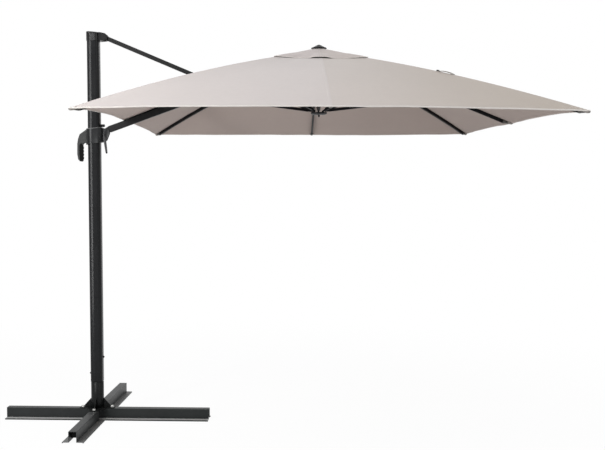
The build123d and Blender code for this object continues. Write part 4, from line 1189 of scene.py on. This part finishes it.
@dataclass
class RibFrame:
    """The eight ribs with their tips, and the eight stretchers."""

    plans: dict[str, RibPlan] = field(
        default_factory=lambda: {
            "arm_side": RibPlan(-1, 0, 0.040, offset=0.028),
            "arm_near": RibPlan(-1, -1, 0.005, bow_radius=16.5),
            "near": RibPlan(0, -1, 0.017),
            "outer_near": RibPlan(1, -1, -0.006),
            "outer_side": RibPlan(1, 0, 0.019),
            "outer_far": RibPlan(1, 1, 0.015),
            "far": RibPlan(0, 1, 0.007),
            "arm_far": RibPlan(-1, 1, 0.007, bow_radius=16.5),
        }
    )
    half_width: float = 1.4
    half_depth: float = 1.75
    hem_height: float = 2.126
    corner_seat: float = 0.0033
    side_seat: float = 0.0008
    rib_edge: float = 0.0015
    stretcher_edge: float = 0.0012
    taper_length: float = 0.070
    taper_share: float = 0.30
    stretcher_rise: float = 0.0060
    stretcher_eye: float = 0.010
    stretcher_plain: float = 0.024
    stretcher_step: float = 0.012
    stretcher_ramp: float = 0.011
    cut_tolerance: float = 1e-5
    tip_top: float = 0.0118
    tip_low: float = -0.0138
    tip_height: float = 0.0105
    tip_overlap: float = 0.008
    lines: list[RibLine] = field(default_factory=list)

    def plan(self) -> None:
        """Work out the eight rib lines, in order round the crown."""
        for name, plan in self.plans.items():
            x, y = plan.side * self.half_width, plan.depth * self.half_depth
            line = RibLine(
                name=name,
                azimuth=math.atan2(y, x),
                offset=plan.offset,
                reach=math.hypot(x, y),
                tip_height=self.hem_height + plan.tip_rise,
                seat=self.corner_seat if plan.side * plan.depth else self.side_seat,
                bow_radius=plan.bow_radius,
            )
            self.lines.append(line)

    def taper(self, rib: bpy.types.Object, line: RibLine) -> None:
        """Slim the last stretch of a rib from below, where it enters its tip.

        Args:
            rib: the refined rib.
            line: its line.
        """
        start = line.line(1 - self.taper_length / line.reach, 0.0)
        outward = line.outward()
        stretch = self.taper_length - line.short_of_hem
        with MeshEdit(rib.data) as build:
            slice_all(build, start, outward)
            for vertex in build.verts:
                beyond = (vertex.co - start).dot(outward)
                if beyond > 0:
                    radius = line.reach - self.taper_length + beyond
                    top = line.line(radius / line.reach, line.half_height).z
                    slim = 1 - (1 - self.taper_share) * min(1.0, beyond / stretch)
                    vertex.co.z = top - (top - vertex.co.z) * slim

    def deepen(self, stretcher: bpy.types.Object, line: RibLine) -> None:
        """Raise the back of a stretcher's bar between its eyes.

        Args:
            stretcher: the refined stretcher.
            line: its rib's line.
        """
        outward = line.outward()
        plain, step = self.stretcher_plain, self.stretcher_step
        with MeshEdit(stretcher.data) as build:
            places = [vertex.co.dot(outward) for vertex in build.verts]
            start, end = min(places), max(places)
            for inward in (plain, plain + step):
                slice_all(build, outward * (start + inward), outward)
                slice_all(build, outward * (end - inward), outward)
            spots = [(vertex.co.dot(outward), vertex.co.z) for vertex in build.verts]
            first = [z for at, z in spots if at < start + self.stretcher_eye]
            last = [z for at, z in spots if at > end - self.stretcher_eye]
            low, high = sum(first) / len(first), sum(last) / len(last)
            for vertex in build.verts:
                at = vertex.co.dot(outward)
                middle = low + (high - low) * (at - start) / (end - start)
                inside = min(at - start - plain, end - plain - at)
                if inside > -self.cut_tolerance and vertex.co.z > middle:
                    share = min(1.0, max(0.0, inside / self.stretcher_ramp))
                    vertex.co.z += self.stretcher_rise * share

    def tip(self, line: RibLine) -> None:
        """Moulded shoe on a rib's end, with the nose that holds the fabric's pocket.

        Args:
            line: the rib.
        """
        start = line.line(1 - self.taper_length / line.reach, 0.0)
        end = line.line(1 - line.short_of_hem / line.reach, 0.0)
        along = (end - start).normalized()
        side = line.tangent()
        up = side.cross(along)
        if up.z < 0:
            up = -up
        length = (end - start).length + self.tip_overlap
        top, low = self.tip_top, self.tip_low
        nose = top - self.tip_height
        stations = [
            (0.0, 0.0080, low + 0.0016),
            (0.0016, 0.0092, low),
            (0.010, 0.0094, low + 0.0008),
            (0.0115, 0.0088, low + 0.0024),
            (length - 0.014, 0.0084, nose),
            (length - 0.004, 0.0070, nose + 0.0012),
            (length - 0.0008, 0.0048, nose + 0.0036),
            (length, 0.0030, nose + 0.0050),
        ]
        rows = []
        for at, wide, under in stations:
            half = (top - under) / 2
            middle = start + along * at + up * ((top + under) / 2)
            loop = squircle(count=28, power=4)
            rows.append([middle + side * (wide * x) + up * (half * y) for x, y in loop])
        Shop.piece("rib_tip_" + line.name, rows, "rib_" + line.name, Finish.TIP)

    def build(self) -> None:
        """Refine ribs and stretchers and add the tips."""
        self.plan()
        for line in self.lines:
            rib = Shop.refine("rib_" + line.name, Finish.RIB, self.rib_edge)
            self.taper(rib, line)
            stretcher = Shop.refine("stretcher_" + line.name, Finish.RIB, self.stretcher_edge)
            self.deepen(stretcher, line)
            self.tip(line)


# ------------------------------------------------------------------ canopy
@dataclass(frozen=True)
class PanelCut:
    """How one panel is cut between its two ribs: its raised hem and its tone."""

    raised: float
    tone: float


@dataclass
class Canopy:
    """The sewn canopy: eight sectors, each centred on its rib, and the tie strap."""

    ribs: RibFrame
    cuts: tuple[PanelCut, ...] = (
        PanelCut(0.014, 0.15),
        PanelCut(0.003, 0.0),
        PanelCut(0.003, 0.75),
        PanelCut(0.011, 0.8),
        PanelCut(0.0045, 0.7),
        PanelCut(-0.008, 0.5),
        PanelCut(-0.003, 0.4),
        PanelCut(0.003, 0.3),
    )
    thickness: float = 0.0011
    sag: float = 0.006
    hem_pull: float = 0.005
    # How far the folds reach, and how high they stand.
    tip_fold: Span = (0.10, 0.0040)
    vent_fold: Span = (0.07, 0.0010)
    long_fold: float = 0.0009
    inner_share: float = 0.115
    even_share: float = 0.975
    last_shares: tuple[float, ...] = (0.984, 0.992, 1.0)
    rows: int = 44
    half_columns: int = 18
    vent_rows: int = 14
    # Rows of the dark band of painted shade under the vent flap.
    shade_band_rows: int = 4
    vent_share: float = 0.227
    vent_pull: float = 0.02
    vent_top: float = 2.6697
    vent_swell: float = 0.0105
    vent_gap: float = 0.0008
    vent_bows: Span = (0.001, 0.002)
    flap_rest: float = 0.0012
    # Share of the panel that a rib lifts, and by how much.
    side_flap: Span = (0.22, 0.0100)
    corner_flap: Span = (0.36, 0.0050)
    ring_radius: float = 0.026
    # Insets from the vent's edges, and gap over the sheet, of the dark band of painted shade under
    # the flap.
    shade_band_inset: Span = (0.004, 0.008)
    shade_band_gap: float = 0.0003
    # Depth below the edge, thickness, and height above it.
    hem_shape: tuple[float, float, float] = (0.003, 0.0036, 0.0052)
    vent_hem_shape: tuple[float, float, float] = (0.0012, 0.0020, 0.0022)
    seam_half: float = 0.0105
    seam_turn: float = 0.02
    seam_rise: float = 0.0006
    slit_half: Point = (0.046, 0.0165, 0.09)
    pocket_length: float = 0.034
    pocket_half: float = 0.017
    pocket_depth: float = 0.0125
    corner_pocket_depth: float = 0.0155
    pocket_thickness: float = 0.0010
    pocket_gap: float = 0.0008
    tie_start: float = 0.512
    tie_length: float = 0.056
    tie_half: float = 0.0110
    tie_webbing: float = 0.0012
    tie_arch: float = 0.0100
    tie_under: float = 0.0058
    toggle_share: float = 0.509
    toggle_rise: float = 0.0065
    # Distance from the middle, and radius.
    toggle_profile: tuple[Span, ...] = (
        (-0.011, 0.0022), (-0.0095, 0.0042), (-0.003, 0.0040), (0.0, 0.0034), (0.003, 0.0040),
        (0.0095, 0.0042), (0.011, 0.0022),
    )
    least_side: float = 0.05
    spare: float = 1.02
    keep: float = 0.10

    def panel(self, index: int, turn: float) -> tuple[RibLine, RibLine, float, int]:
        """The panel beside a rib.

        Args:
            index: the rib's number.
            turn: from -0.5 at the middle line before the rib to 0.5 at the one after.

        Returns:
            The panel's two ribs, the share of the way between them, and the panel's number.
        """
        lines = self.ribs.lines
        number, share = (index - 1, 1 + turn) if turn < 0 else (index, turn)
        number %= len(lines)
        return lines[number], lines[(number + 1) % len(lines)], share, number

    def perpendicular(self, number: int) -> float:
        """Level distance from the crown to this panel's hem."""
        names = {line.name for line in self.panel(number, 0.0)[:2]}
        return self.ribs.half_width if names & {"arm_side", "outer_side"} else self.ribs.half_depth

    def surface(self, index: int, turn: float, share: float) -> Vector:
        """A point of the main sheet's underside.

        Args:
            index: the sector's rib.
            turn: place across the sector, from -0.5 to 0.5.
            share: place from the crown (0) to the hem (1).

        Returns:
            The point.
        """
        first, second, part, number = self.panel(index, turn)
        belly = 4 * part * (1 - part)
        reach = share * (1 - self.hem_pull * belly * share**4)
        point = first.line(reach).lerp(second.line(reach), part)
        point.z += self.cuts[number].raised * belly * share**5
        point.z -= self.sag * belly * math.sin(math.pi * share)
        point.z += self.folds(part, share, belly)
        return point

    def folds(self, part: float, share: float, belly: float) -> float:
        """Small tension folds that start at the tips and under the vent.

        Args:
            part: place between the panel's ribs.
            share: place from crown to hem.
            belly: 1 in the panel's middle and 0 at its ribs.

        Returns:
            The height of the fold.
        """
        reach, height = self.tip_fold
        near_tip = math.exp(-(((1 - share) / reach) ** 2)) * belly * (1 - belly)
        tip = near_tip * math.sin(9 * math.pi * part) * height
        reach, height = self.vent_fold
        near_vent = math.exp(-(((share - 0.2) / reach) ** 2)) * belly
        vent = near_vent * math.sin(7 * math.pi * part + 0.8) * height
        return tip + vent + math.sin(3 * math.pi * part + 5 * share) * self.long_fold * belly

    def shares(self) -> list[float]:
        """The rows of the main sheet, closer together at the hem."""
        step = (self.even_share - self.inner_share) / self.rows
        return [*(self.inner_share + step * k for k in range(self.rows + 1)), *self.last_shares]

    def turns(self) -> list[float]:
        """The columns of a sector, closer together at the rib.

        Returns:
            Their places across the sector, from -0.5 to 0.5.
        """
        parts = [k / self.half_columns for k in range(self.half_columns + 1)]
        half = [0.5 * (0.55 * part + 0.45 * part**2) for part in parts]
        return [-turn for turn in reversed(half[1:])] + half

    def grid(
        self,
        name: str,
        index: int,
        shares: list[float],
        place: Callable[[int, float, float], Vector],
        finishes: tuple[Finish, Finish, Finish],
    ) -> bpy.types.Object:
        """One sheet of a sector with its maps, thickened upwards.

        Args:
            name: the piece's name.
            index: the sector's rib.
            shares: the rows.
            place: gives a point from rib, turn and share.
            finishes: the finishes of its top, underside and edges.

        Returns:
            The sheet.
        """
        turns = self.turns()
        rows = [[place(index, turn, share) for turn in turns] for share in shares]
        points, faces = Shop.rings(rows, closed=False, caps=False)
        mesh = bpy.data.meshes.new(name)
        mesh.from_pydata(points, [], faces)
        self.map_cloth(mesh, index, shares, rows)
        if mesh.polygons[0].normal.z < 0:
            mesh.flip_normals()
        obj = Shop.stand(name, mesh)
        for finish in finishes:
            obj.data.materials.append(finish.material())
        Shop.thicken(obj, self.thickness, offset=1.0, slots=1)
        Shop.shade(obj.data, angle=50)
        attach(obj, "rib_" + self.ribs.lines[index].name)
        LOG.info("made %s", name)
        return obj

    def map_cloth(self, mesh: bpy.types.Mesh, index: int, shares: list[float], rows: Rows) -> None:
        """Lay the cloth map and the panel map on a sheet.

        Args:
            mesh: the sheet's mesh.
            index: the sector's rib.
            shares: the place of each row.
            rows: its points.
        """
        cloth = mesh.uv_layers.new(name="cloth")
        panel = mesh.uv_layers.new(name="panel")
        reach = self.ribs.lines[index].reach
        wide = len(rows[0])
        middle = wide // 2
        for polygon in mesh.polygons:
            side = 1 if polygon.vertices[0] % wide >= middle else -1
            number = self.panel(index, side * 0.25)[3]
            for loop in polygon.loop_indices:
                row, k = divmod(mesh.loops[loop].vertex_index, wide)
                across = (rows[row][k] - rows[row][middle]).length * side
                inward = (1 - shares[row]) * self.perpendicular(number)
                cloth.data[loop].uv = (across, shares[row] * reach)
                panel.data[loop].uv = (self.cuts[number].tone, inward)

    def cut_slit(self, sheet: bpy.types.Object) -> None:
        """Cut the opening for the strut.

        Args:
            sheet: the sector beside the arm.
        """
        low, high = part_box("arm_strut_bracket")
        middle, half = (Vector(low) + Vector(high)) / 2, Vector(self.slit_half)
        corners = [(x, y, z) for x in (-1, 1) for y in (-1, 1) for z in (-1, 1)]
        points = [tuple(middle + half * Vector(corner)) for corner in corners]
        faces = [(0, 1, 3, 2), (4, 6, 7, 5), (0, 4, 5, 1), (2, 3, 7, 6), (0, 2, 6, 4), (1, 5, 7, 3)]
        mesh = bpy.data.meshes.new("slit_tool")
        mesh.from_pydata(points, [], faces)
        tool = Shop.stand("slit_tool", mesh)
        cut = sheet.modifiers.new("slit", "BOOLEAN")
        cut.object = tool
        cut.operation = "DIFFERENCE"
        cut.solver = "EXACT"
        Shop.settle(sheet)
        bpy.data.objects.remove(tool)

    def ring(self, line: RibLine) -> Vector:
        """Where the vent flap meets the ring round the crown's stem."""
        x = CROWN_X + self.ring_radius * math.cos(line.azimuth)
        return Vector((x, self.ring_radius * math.sin(line.azimuth), self.vent_top))

    def flap_lift(self, first: RibLine, second: RibLine, part: float) -> float:
        """How far the vent flap's edge stands off the main sheet: most on the ribs.

        Args:
            first: the panel's first rib.
            second: its second rib.
            part: place between them.

        Returns:
            The gap.
        """
        lift = self.flap_rest
        for line, away in ((first, part), (second, 1 - part)):
            width, height = self.corner_flap if line.corner() else self.side_flap
            lift += height * math.exp(-((away / width) ** 4))
        return lift

    def vent_surface(self, index: int, turn: float, share: float) -> Vector:
        """A point of the vent flap.

        Args:
            index: the sector's rib.
            turn: place across the sector, from -0.5 to 0.5.
            share: place from the ring (0) to the flap's edge (1).

        Returns:
            The point.
        """
        first, second, part, _ = self.panel(index, turn)
        belly = 4 * part * (1 - part)
        middle = first.line(self.inner_share).lerp(second.line(self.inner_share), part)
        middle.z += self.vent_swell
        inner_bow, outer_bow = self.vent_bows
        if share < 0.5:
            start = self.ring(first).lerp(self.ring(second), part)
            bend = 2 * share
            return start.lerp(middle, bend) + UP * (inner_bow * math.sin(math.pi * bend))
        edge = self.surface(index, turn, self.vent_share * (1 - self.vent_pull * belly))
        edge.z += self.thickness + self.vent_gap + self.flap_lift(first, second, part)
        bend = 2 * share - 1
        return middle.lerp(edge, bend) + UP * (outer_bow * math.sin(math.pi * bend))

    def shade_band_surface(self, index: int, turn: float, share: float) -> Vector:
        """A point of the dark band laid on the main sheet under the vent flap: painted shade.

        Args:
            index: the sector's rib.
            turn: place across the sector, from -0.5 to 0.5.
            share: place from the band's inner edge (0) to its outer edge (1).

        Returns:
            The point.
        """
        inner, outer = self.inner_share + self.shade_band_inset[0], self.vent_share - self.shade_band_inset[1]
        place = inner + (outer - inner) * share
        return self.surface(index, turn, place) + UP * (self.thickness + self.shade_band_gap)

    def hem(
        self, name: str, line: RibLine, edge: list[Vector], shape: tuple[float, float, float]
    ) -> bpy.types.Object:
        """A folded binding along an edge.

        Args:
            name: the piece's name.
            line: the sector's rib.
            edge: the points of the edge.
            shape: how far it hangs below the edge, its thickness and its height above.

        Returns:
            The piece.
        """
        depth, thick, lip = shape
        half = thick / 2
        low, bend = -depth + half * 0.6, lip - 0.0012
        section = [(-half * 0.6, lip), (half * 0.6, lip), (half, bend), (half, low)]
        section += [(half * 0.5, -depth), (-half * 0.5, -depth), (-half, low), (-half, bend)]
        rows = []
        for k, point in enumerate(edge):
            run = edge[min(k + 1, len(edge) - 1)] - edge[max(k - 1, 0)]
            out = Vector((run.y, -run.x, 0.0)).normalized()
            if out.dot(point - Vector((CROWN_X, 0.0, point.z))) < 0:
                out = -out
            rows.append([point + out * across + UP * up for across, up in section])
        return Shop.piece(name, rows, "rib_" + line.name, Finish.HEM)

    def seam(self, index: int) -> bpy.types.Object:
        """Flat seam tape over the rib.

        Args:
            index: the sector's rib.

        Returns:
            The piece.
        """
        section = ((0, 1.0, -1.0), (0, 1.0, 0.7), (0, 0.85, 1.0), (0, 0.0, 1.6))
        section += ((1, 0.85, 1.0), (1, 1.0, 0.7), (1, 1.0, -1.0), (1, 0.0, -1.0))
        rows = []
        for share in self.shares():
            under = self.surface(index, 0.0, share)
            turns = (-self.seam_turn, self.seam_turn)
            sides = [self.surface(index, turn, share) - under for turn in turns]
            sides = [side.normalized() * self.seam_half for side in sides]
            over = under + UP * self.thickness
            rows.append(
                [over + sides[way] * out + UP * (self.seam_rise * up) for way, out, up in section]
            )
        name = self.ribs.lines[index].name
        return Shop.piece("seam_" + name, rows, "rib_" + name, Finish.OUTER, angle=60)

    def pocket(self, index: int) -> bpy.types.Object:
        """The small fabric pocket that the rib's nose stands in.

        Args:
            index: the sector's rib.

        Returns:
            The piece.
        """
        line = self.ribs.lines[index]
        depth = self.corner_pocket_depth if line.corner() else self.pocket_depth
        rows = []
        for k in range(9):
            part = k / 8
            inward = 0.003 + self.pocket_length * (1 - part)
            top = self.surface(index, 0.0, 1 - inward / line.reach) - UP * self.pocket_gap
            droop = depth + 0.0016 * math.sin(math.pi * part) - 0.005 * part**3
            across = line.tangent() * (self.pocket_half * (1 - 0.45 * part**2))
            arc = circle(24)[:13]
            rows.append([top + across * c - UP * (droop * s) for c, s in arc])
        made = Shop.piece(
            "pocket_" + line.name,
            rows,
            "rib_" + line.name,
            Finish.STRAP,
            angle=70,
            closed=False,
            caps=False,
        )
        Shop.thicken(made, self.pocket_thickness, offset=0.0, slots=0)
        return made

    def tie(self) -> None:
        """The tie strap on the corner seam: an arched loop of webbing and its toggle."""
        line = next(line for line in self.ribs.lines if line.name == "outer_near")
        side, out = line.tangent(), line.outward()
        body = "rib_" + line.name
        rows = []
        for k in range(29):
            part = k / 28
            base = line.line(self.tie_start + self.tie_length * part)
            base += UP * (self.thickness + 0.0004)
            bow = math.sin(math.pi * part)
            half = self.tie_half - 0.002 * bow
            low = self.tie_under * bow**0.9
            top = self.tie_webbing + self.tie_arch * bow**0.7
            section = [(-half, low), (-half, top), (0.0, top + 0.0006)]
            section += [(half, top), (half, low), (0.0, low)]
            rows.append([base + side * across + UP * up for across, up in section])
        Shop.piece("tie_strap", rows, body, Finish.STRAP, angle=60)
        rows = []
        for at, radius in self.toggle_profile:
            middle = line.line(self.toggle_share) + UP * self.toggle_rise + side * at
            rows.append([middle + out * (radius * c) + UP * (radius * s) for c, s in circle(16)])
        Shop.piece("tie_toggle", rows, body, Finish.BLACK, angle=50)

    def press(self, piece: bpy.types.Object, line: RibLine) -> None:
        """Give a soft piece a mesh of its own.

        Args:
            piece: the soft piece.
            line: its rib.
        """
        anchor = tuple(line.spot(line.pivot_radius, line.pivot_height))
        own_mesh(piece)

    def declare(self, piece: bpy.types.Object, line: RibLine) -> None:
        """Work out a sheet's cut size; nothing is done with it.

        Args:
            piece: the sheet.
            line: its rib; not used.
        """
        spots = [vertex.co for vertex in piece.data.vertices]
        size = Vector(map(max, *spots)) - Vector(map(min, *spots))
        area = sum(polygon.area for polygon in piece.data.polygons) / 2
        width, length = max(size.x, self.least_side), max(size.y, self.least_side)
        if area > width * length:
            length = area / width * self.spare

    def sector(self, index: int) -> None:
        """Make one sector with its vent flap, the dark band of painted shade under it, hems, seam
        and pocket.

        Args:
            index: its rib.
        """
        line = self.ribs.lines[index]
        name = line.name
        main = (Finish.OUTER, Finish.INNER, Finish.HEM)
        flap = (Finish.VENT, Finish.INNER, Finish.HEM)
        shade_band_finishes = (Finish.NET, Finish.NET, Finish.NET)
        vent_rows = [k / self.vent_rows for k in range(self.vent_rows + 1)]
        shade_band_rows = [k / self.shade_band_rows for k in range(self.shade_band_rows + 1)]
        sheet = self.grid("canopy_sheet_" + name, index, self.shares(), self.surface, main)
        if name == "arm_side":
            self.cut_slit(sheet)
        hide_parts("canopy_" + name)
        vent = self.grid("vent_sheet_" + name, index, vent_rows, self.vent_surface, flap)
        # A near-black band on the sheet under the flap: painted shade.
        shade_band = self.grid("vent_net_" + name, index, shade_band_rows, self.shade_band_surface, shade_band_finishes)
        edge = [self.surface(index, turn, 1.0) for turn in self.turns()]
        vent_edge = [self.vent_surface(index, turn, 1.0) for turn in self.turns()]
        trims = [
            self.hem("hem_" + name, line, edge, self.hem_shape),
            self.hem("vent_hem_" + name, line, vent_edge, self.vent_hem_shape),
            self.seam(index),
            self.pocket(index),
        ]
        for piece in (sheet, vent, shade_band, *trims):
            self.press(piece, line)
        for piece in (sheet, vent, shade_band):
            self.declare(piece, line)

    def build(self) -> None:
        """Make every sector, and the strap."""
        for index in range(len(self.ribs.lines)):
            self.sector(index)
        self.tie()


# ------------------------------------------------------------------ studio
@dataclass(frozen=True)
class Lamp:
    """A rectangular soft lamp that the camera doesn't see."""

    name: str
    place: Point
    aim: Point
    size: Span
    watts: float
    colour: Colour = WHITE

    def build(self) -> None:
        """Hang the lamp."""
        data = bpy.data.lights.new(self.name, "AREA")
        data.shape = "RECTANGLE"
        data.size, data.size_y = self.size
        data.energy = self.watts
        data.color = self.colour
        obj = Shop.stand(self.name, data)
        aim = Vector(self.aim) - Vector(self.place)
        obj.location = self.place
        obj.rotation_mode = "QUATERNION"
        obj.rotation_quaternion = aim.to_track_quat("-Z", "Y")
        obj.visible_camera = False


@dataclass
class Studio:
    """Camera, lamps, floor and plain surroundings."""

    eye: Point = (1.351, -6.898, 1.777)
    pitch: float = -0.05373
    yaw: float = -0.0202
    sensor: float = 36.0
    # The lens's length, in widths of the view.
    focal: float = 955 / 605
    lamps: tuple[Lamp, ...] = (
        Lamp("key", (-1.6, -3.4, 5.2), (1.2, 0.0, 2.3), (2.6, 2.6), 110.0, (1.0, 0.985, 0.965)),
        Lamp("strip", (-1.60, -2.89, 1.98), (0.0, 0.0, 1.98), (0.34, 3.2), 88.0),
        Lamp("fill", (4.6, -4.2, 2.8), (1.6, 0.0, 1.8), (2.4, 2.4), 30.0, (1.0, 0.98, 0.96)),
        Lamp("back", (1.6, 4.6, 4.4), (1.6, 0.0, 2.4), (4.0, 2.0), 60.0),
    )
    floor_place: Point = (0.8, 0.0, -0.0005)
    floor_radii: tuple[float, ...] = (1.5, 3.0, 6.0, 12.0, 24.0, 60.0)
    floor_fade: tuple[float, float, float, float] = (1.6, 5.0, 0.95, 1.0)
    floor_colour: Colour = (0.86, 0.86, 0.86)
    sky_colour: Colour = (0.95, 0.97, 1.0)
    sky_strength: float = 0.55

    def camera(self) -> None:
        """Place the camera."""
        data = bpy.data.cameras.new("camera")
        data.sensor_width = self.sensor
        data.lens = self.sensor * self.focal
        obj = Shop.stand("camera", data)
        obj.location = self.eye
        obj.rotation_euler = (math.pi / 2 + self.pitch, 0.0, self.yaw)
        bpy.context.scene.camera = obj

    def floor(self) -> None:
        """A plain pale floor that fades into the white surroundings."""
        steps = 48
        points = [(0.0, 0.0, 0.0)]
        points += [(r * c, r * s, 0.0) for r in self.floor_radii for c, s in circle(steps)]
        faces = [(0, 1 + k, 1 + (k + 1) % steps) for k in range(steps)]
        for inner in range(1, 1 + steps * (len(self.floor_radii) - 1), steps):
            outer = inner + steps
            for k in range(steps):
                n = (k + 1) % steps
                faces.append((inner + k, outer + k, outer + n, inner + n))
        mesh = bpy.data.meshes.new("floor")
        mesh.from_pydata(points, [], faces)
        obj = Shop.stand("floor", mesh)
        obj.location = self.floor_place
        obj.data.materials.append(self.floor_material())

    def floor_material(self) -> bpy.types.Material:
        """Pale paint under the object, and plain white for the camera further out.

        Returns:
            The material.
        """
        graph = Graph("studio_floor")
        spot = {0: graph.place()}
        distance = graph.node("ShaderNodeVectorMath", {"operation": "LENGTH"}, spot, "Value")
        seen = graph.node("ShaderNodeLightPath", output="Is Camera Ray")
        glossy = graph.node("ShaderNodeLightPath", output="Is Glossy Ray")
        white = graph.node("ShaderNodeEmission", None, {"Color": WHITE, "Strength": 1.0})
        share = distance.span(*self.floor_fade) * seen + glossy
        graph.set(Base_Color=self.floor_colour, Roughness=0.9, Specular_IOR_Level=0.1)
        shaders = {0: share, 1: graph.shader, 2: white}
        graph.feed(graph.surface, graph.node("ShaderNodeMixShader", None, shaders))
        return graph.material

    def surroundings(self) -> None:
        """White for the camera and in reflections, softer grey light for the object."""
        world = bpy.data.worlds.new("studio")
        bpy.context.scene.world = world
        world.use_nodes = True
        sky = NodeSet(world.node_tree, "ShaderNodeOutputWorld")
        seen = sky.node("ShaderNodeLightPath", output="Is Camera Ray")
        through = sky.node("ShaderNodeLightPath", output="Is Transmission Ray")
        glossy = sky.node("ShaderNodeLightPath", output="Is Glossy Ray")
        grey = sky.node("ShaderNodeBackground", None, {0: self.sky_colour, 1: self.sky_strength})
        white = sky.node("ShaderNodeBackground", None, {0: WHITE, 1: 1.0})
        shaders = {0: seen.most(through).most(glossy), 1: grey, 2: white}
        sky.feed(sky.surface, sky.node("ShaderNodeMixShader", None, shaders))

    def build(self) -> None:
        """Set the whole studio."""
        self.camera()
        self.floor()
        self.surroundings()
        for lamp in self.lamps:
            lamp.build()
        bpy.context.scene.view_settings.view_transform = "Standard"


def write_sizes() -> None:
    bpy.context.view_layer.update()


def main() -> None:
    """Build the parasol and the studio."""
    ribs = RibFrame()
    for part in (CrossBase(), Mast(), ArmAndStrut(), Carriage(), CrownAndRunner(), ribs):
        part.build()
    Canopy(ribs).build()
    Studio().build()
    write_sizes()


if __name__ == "__main__":
    main()
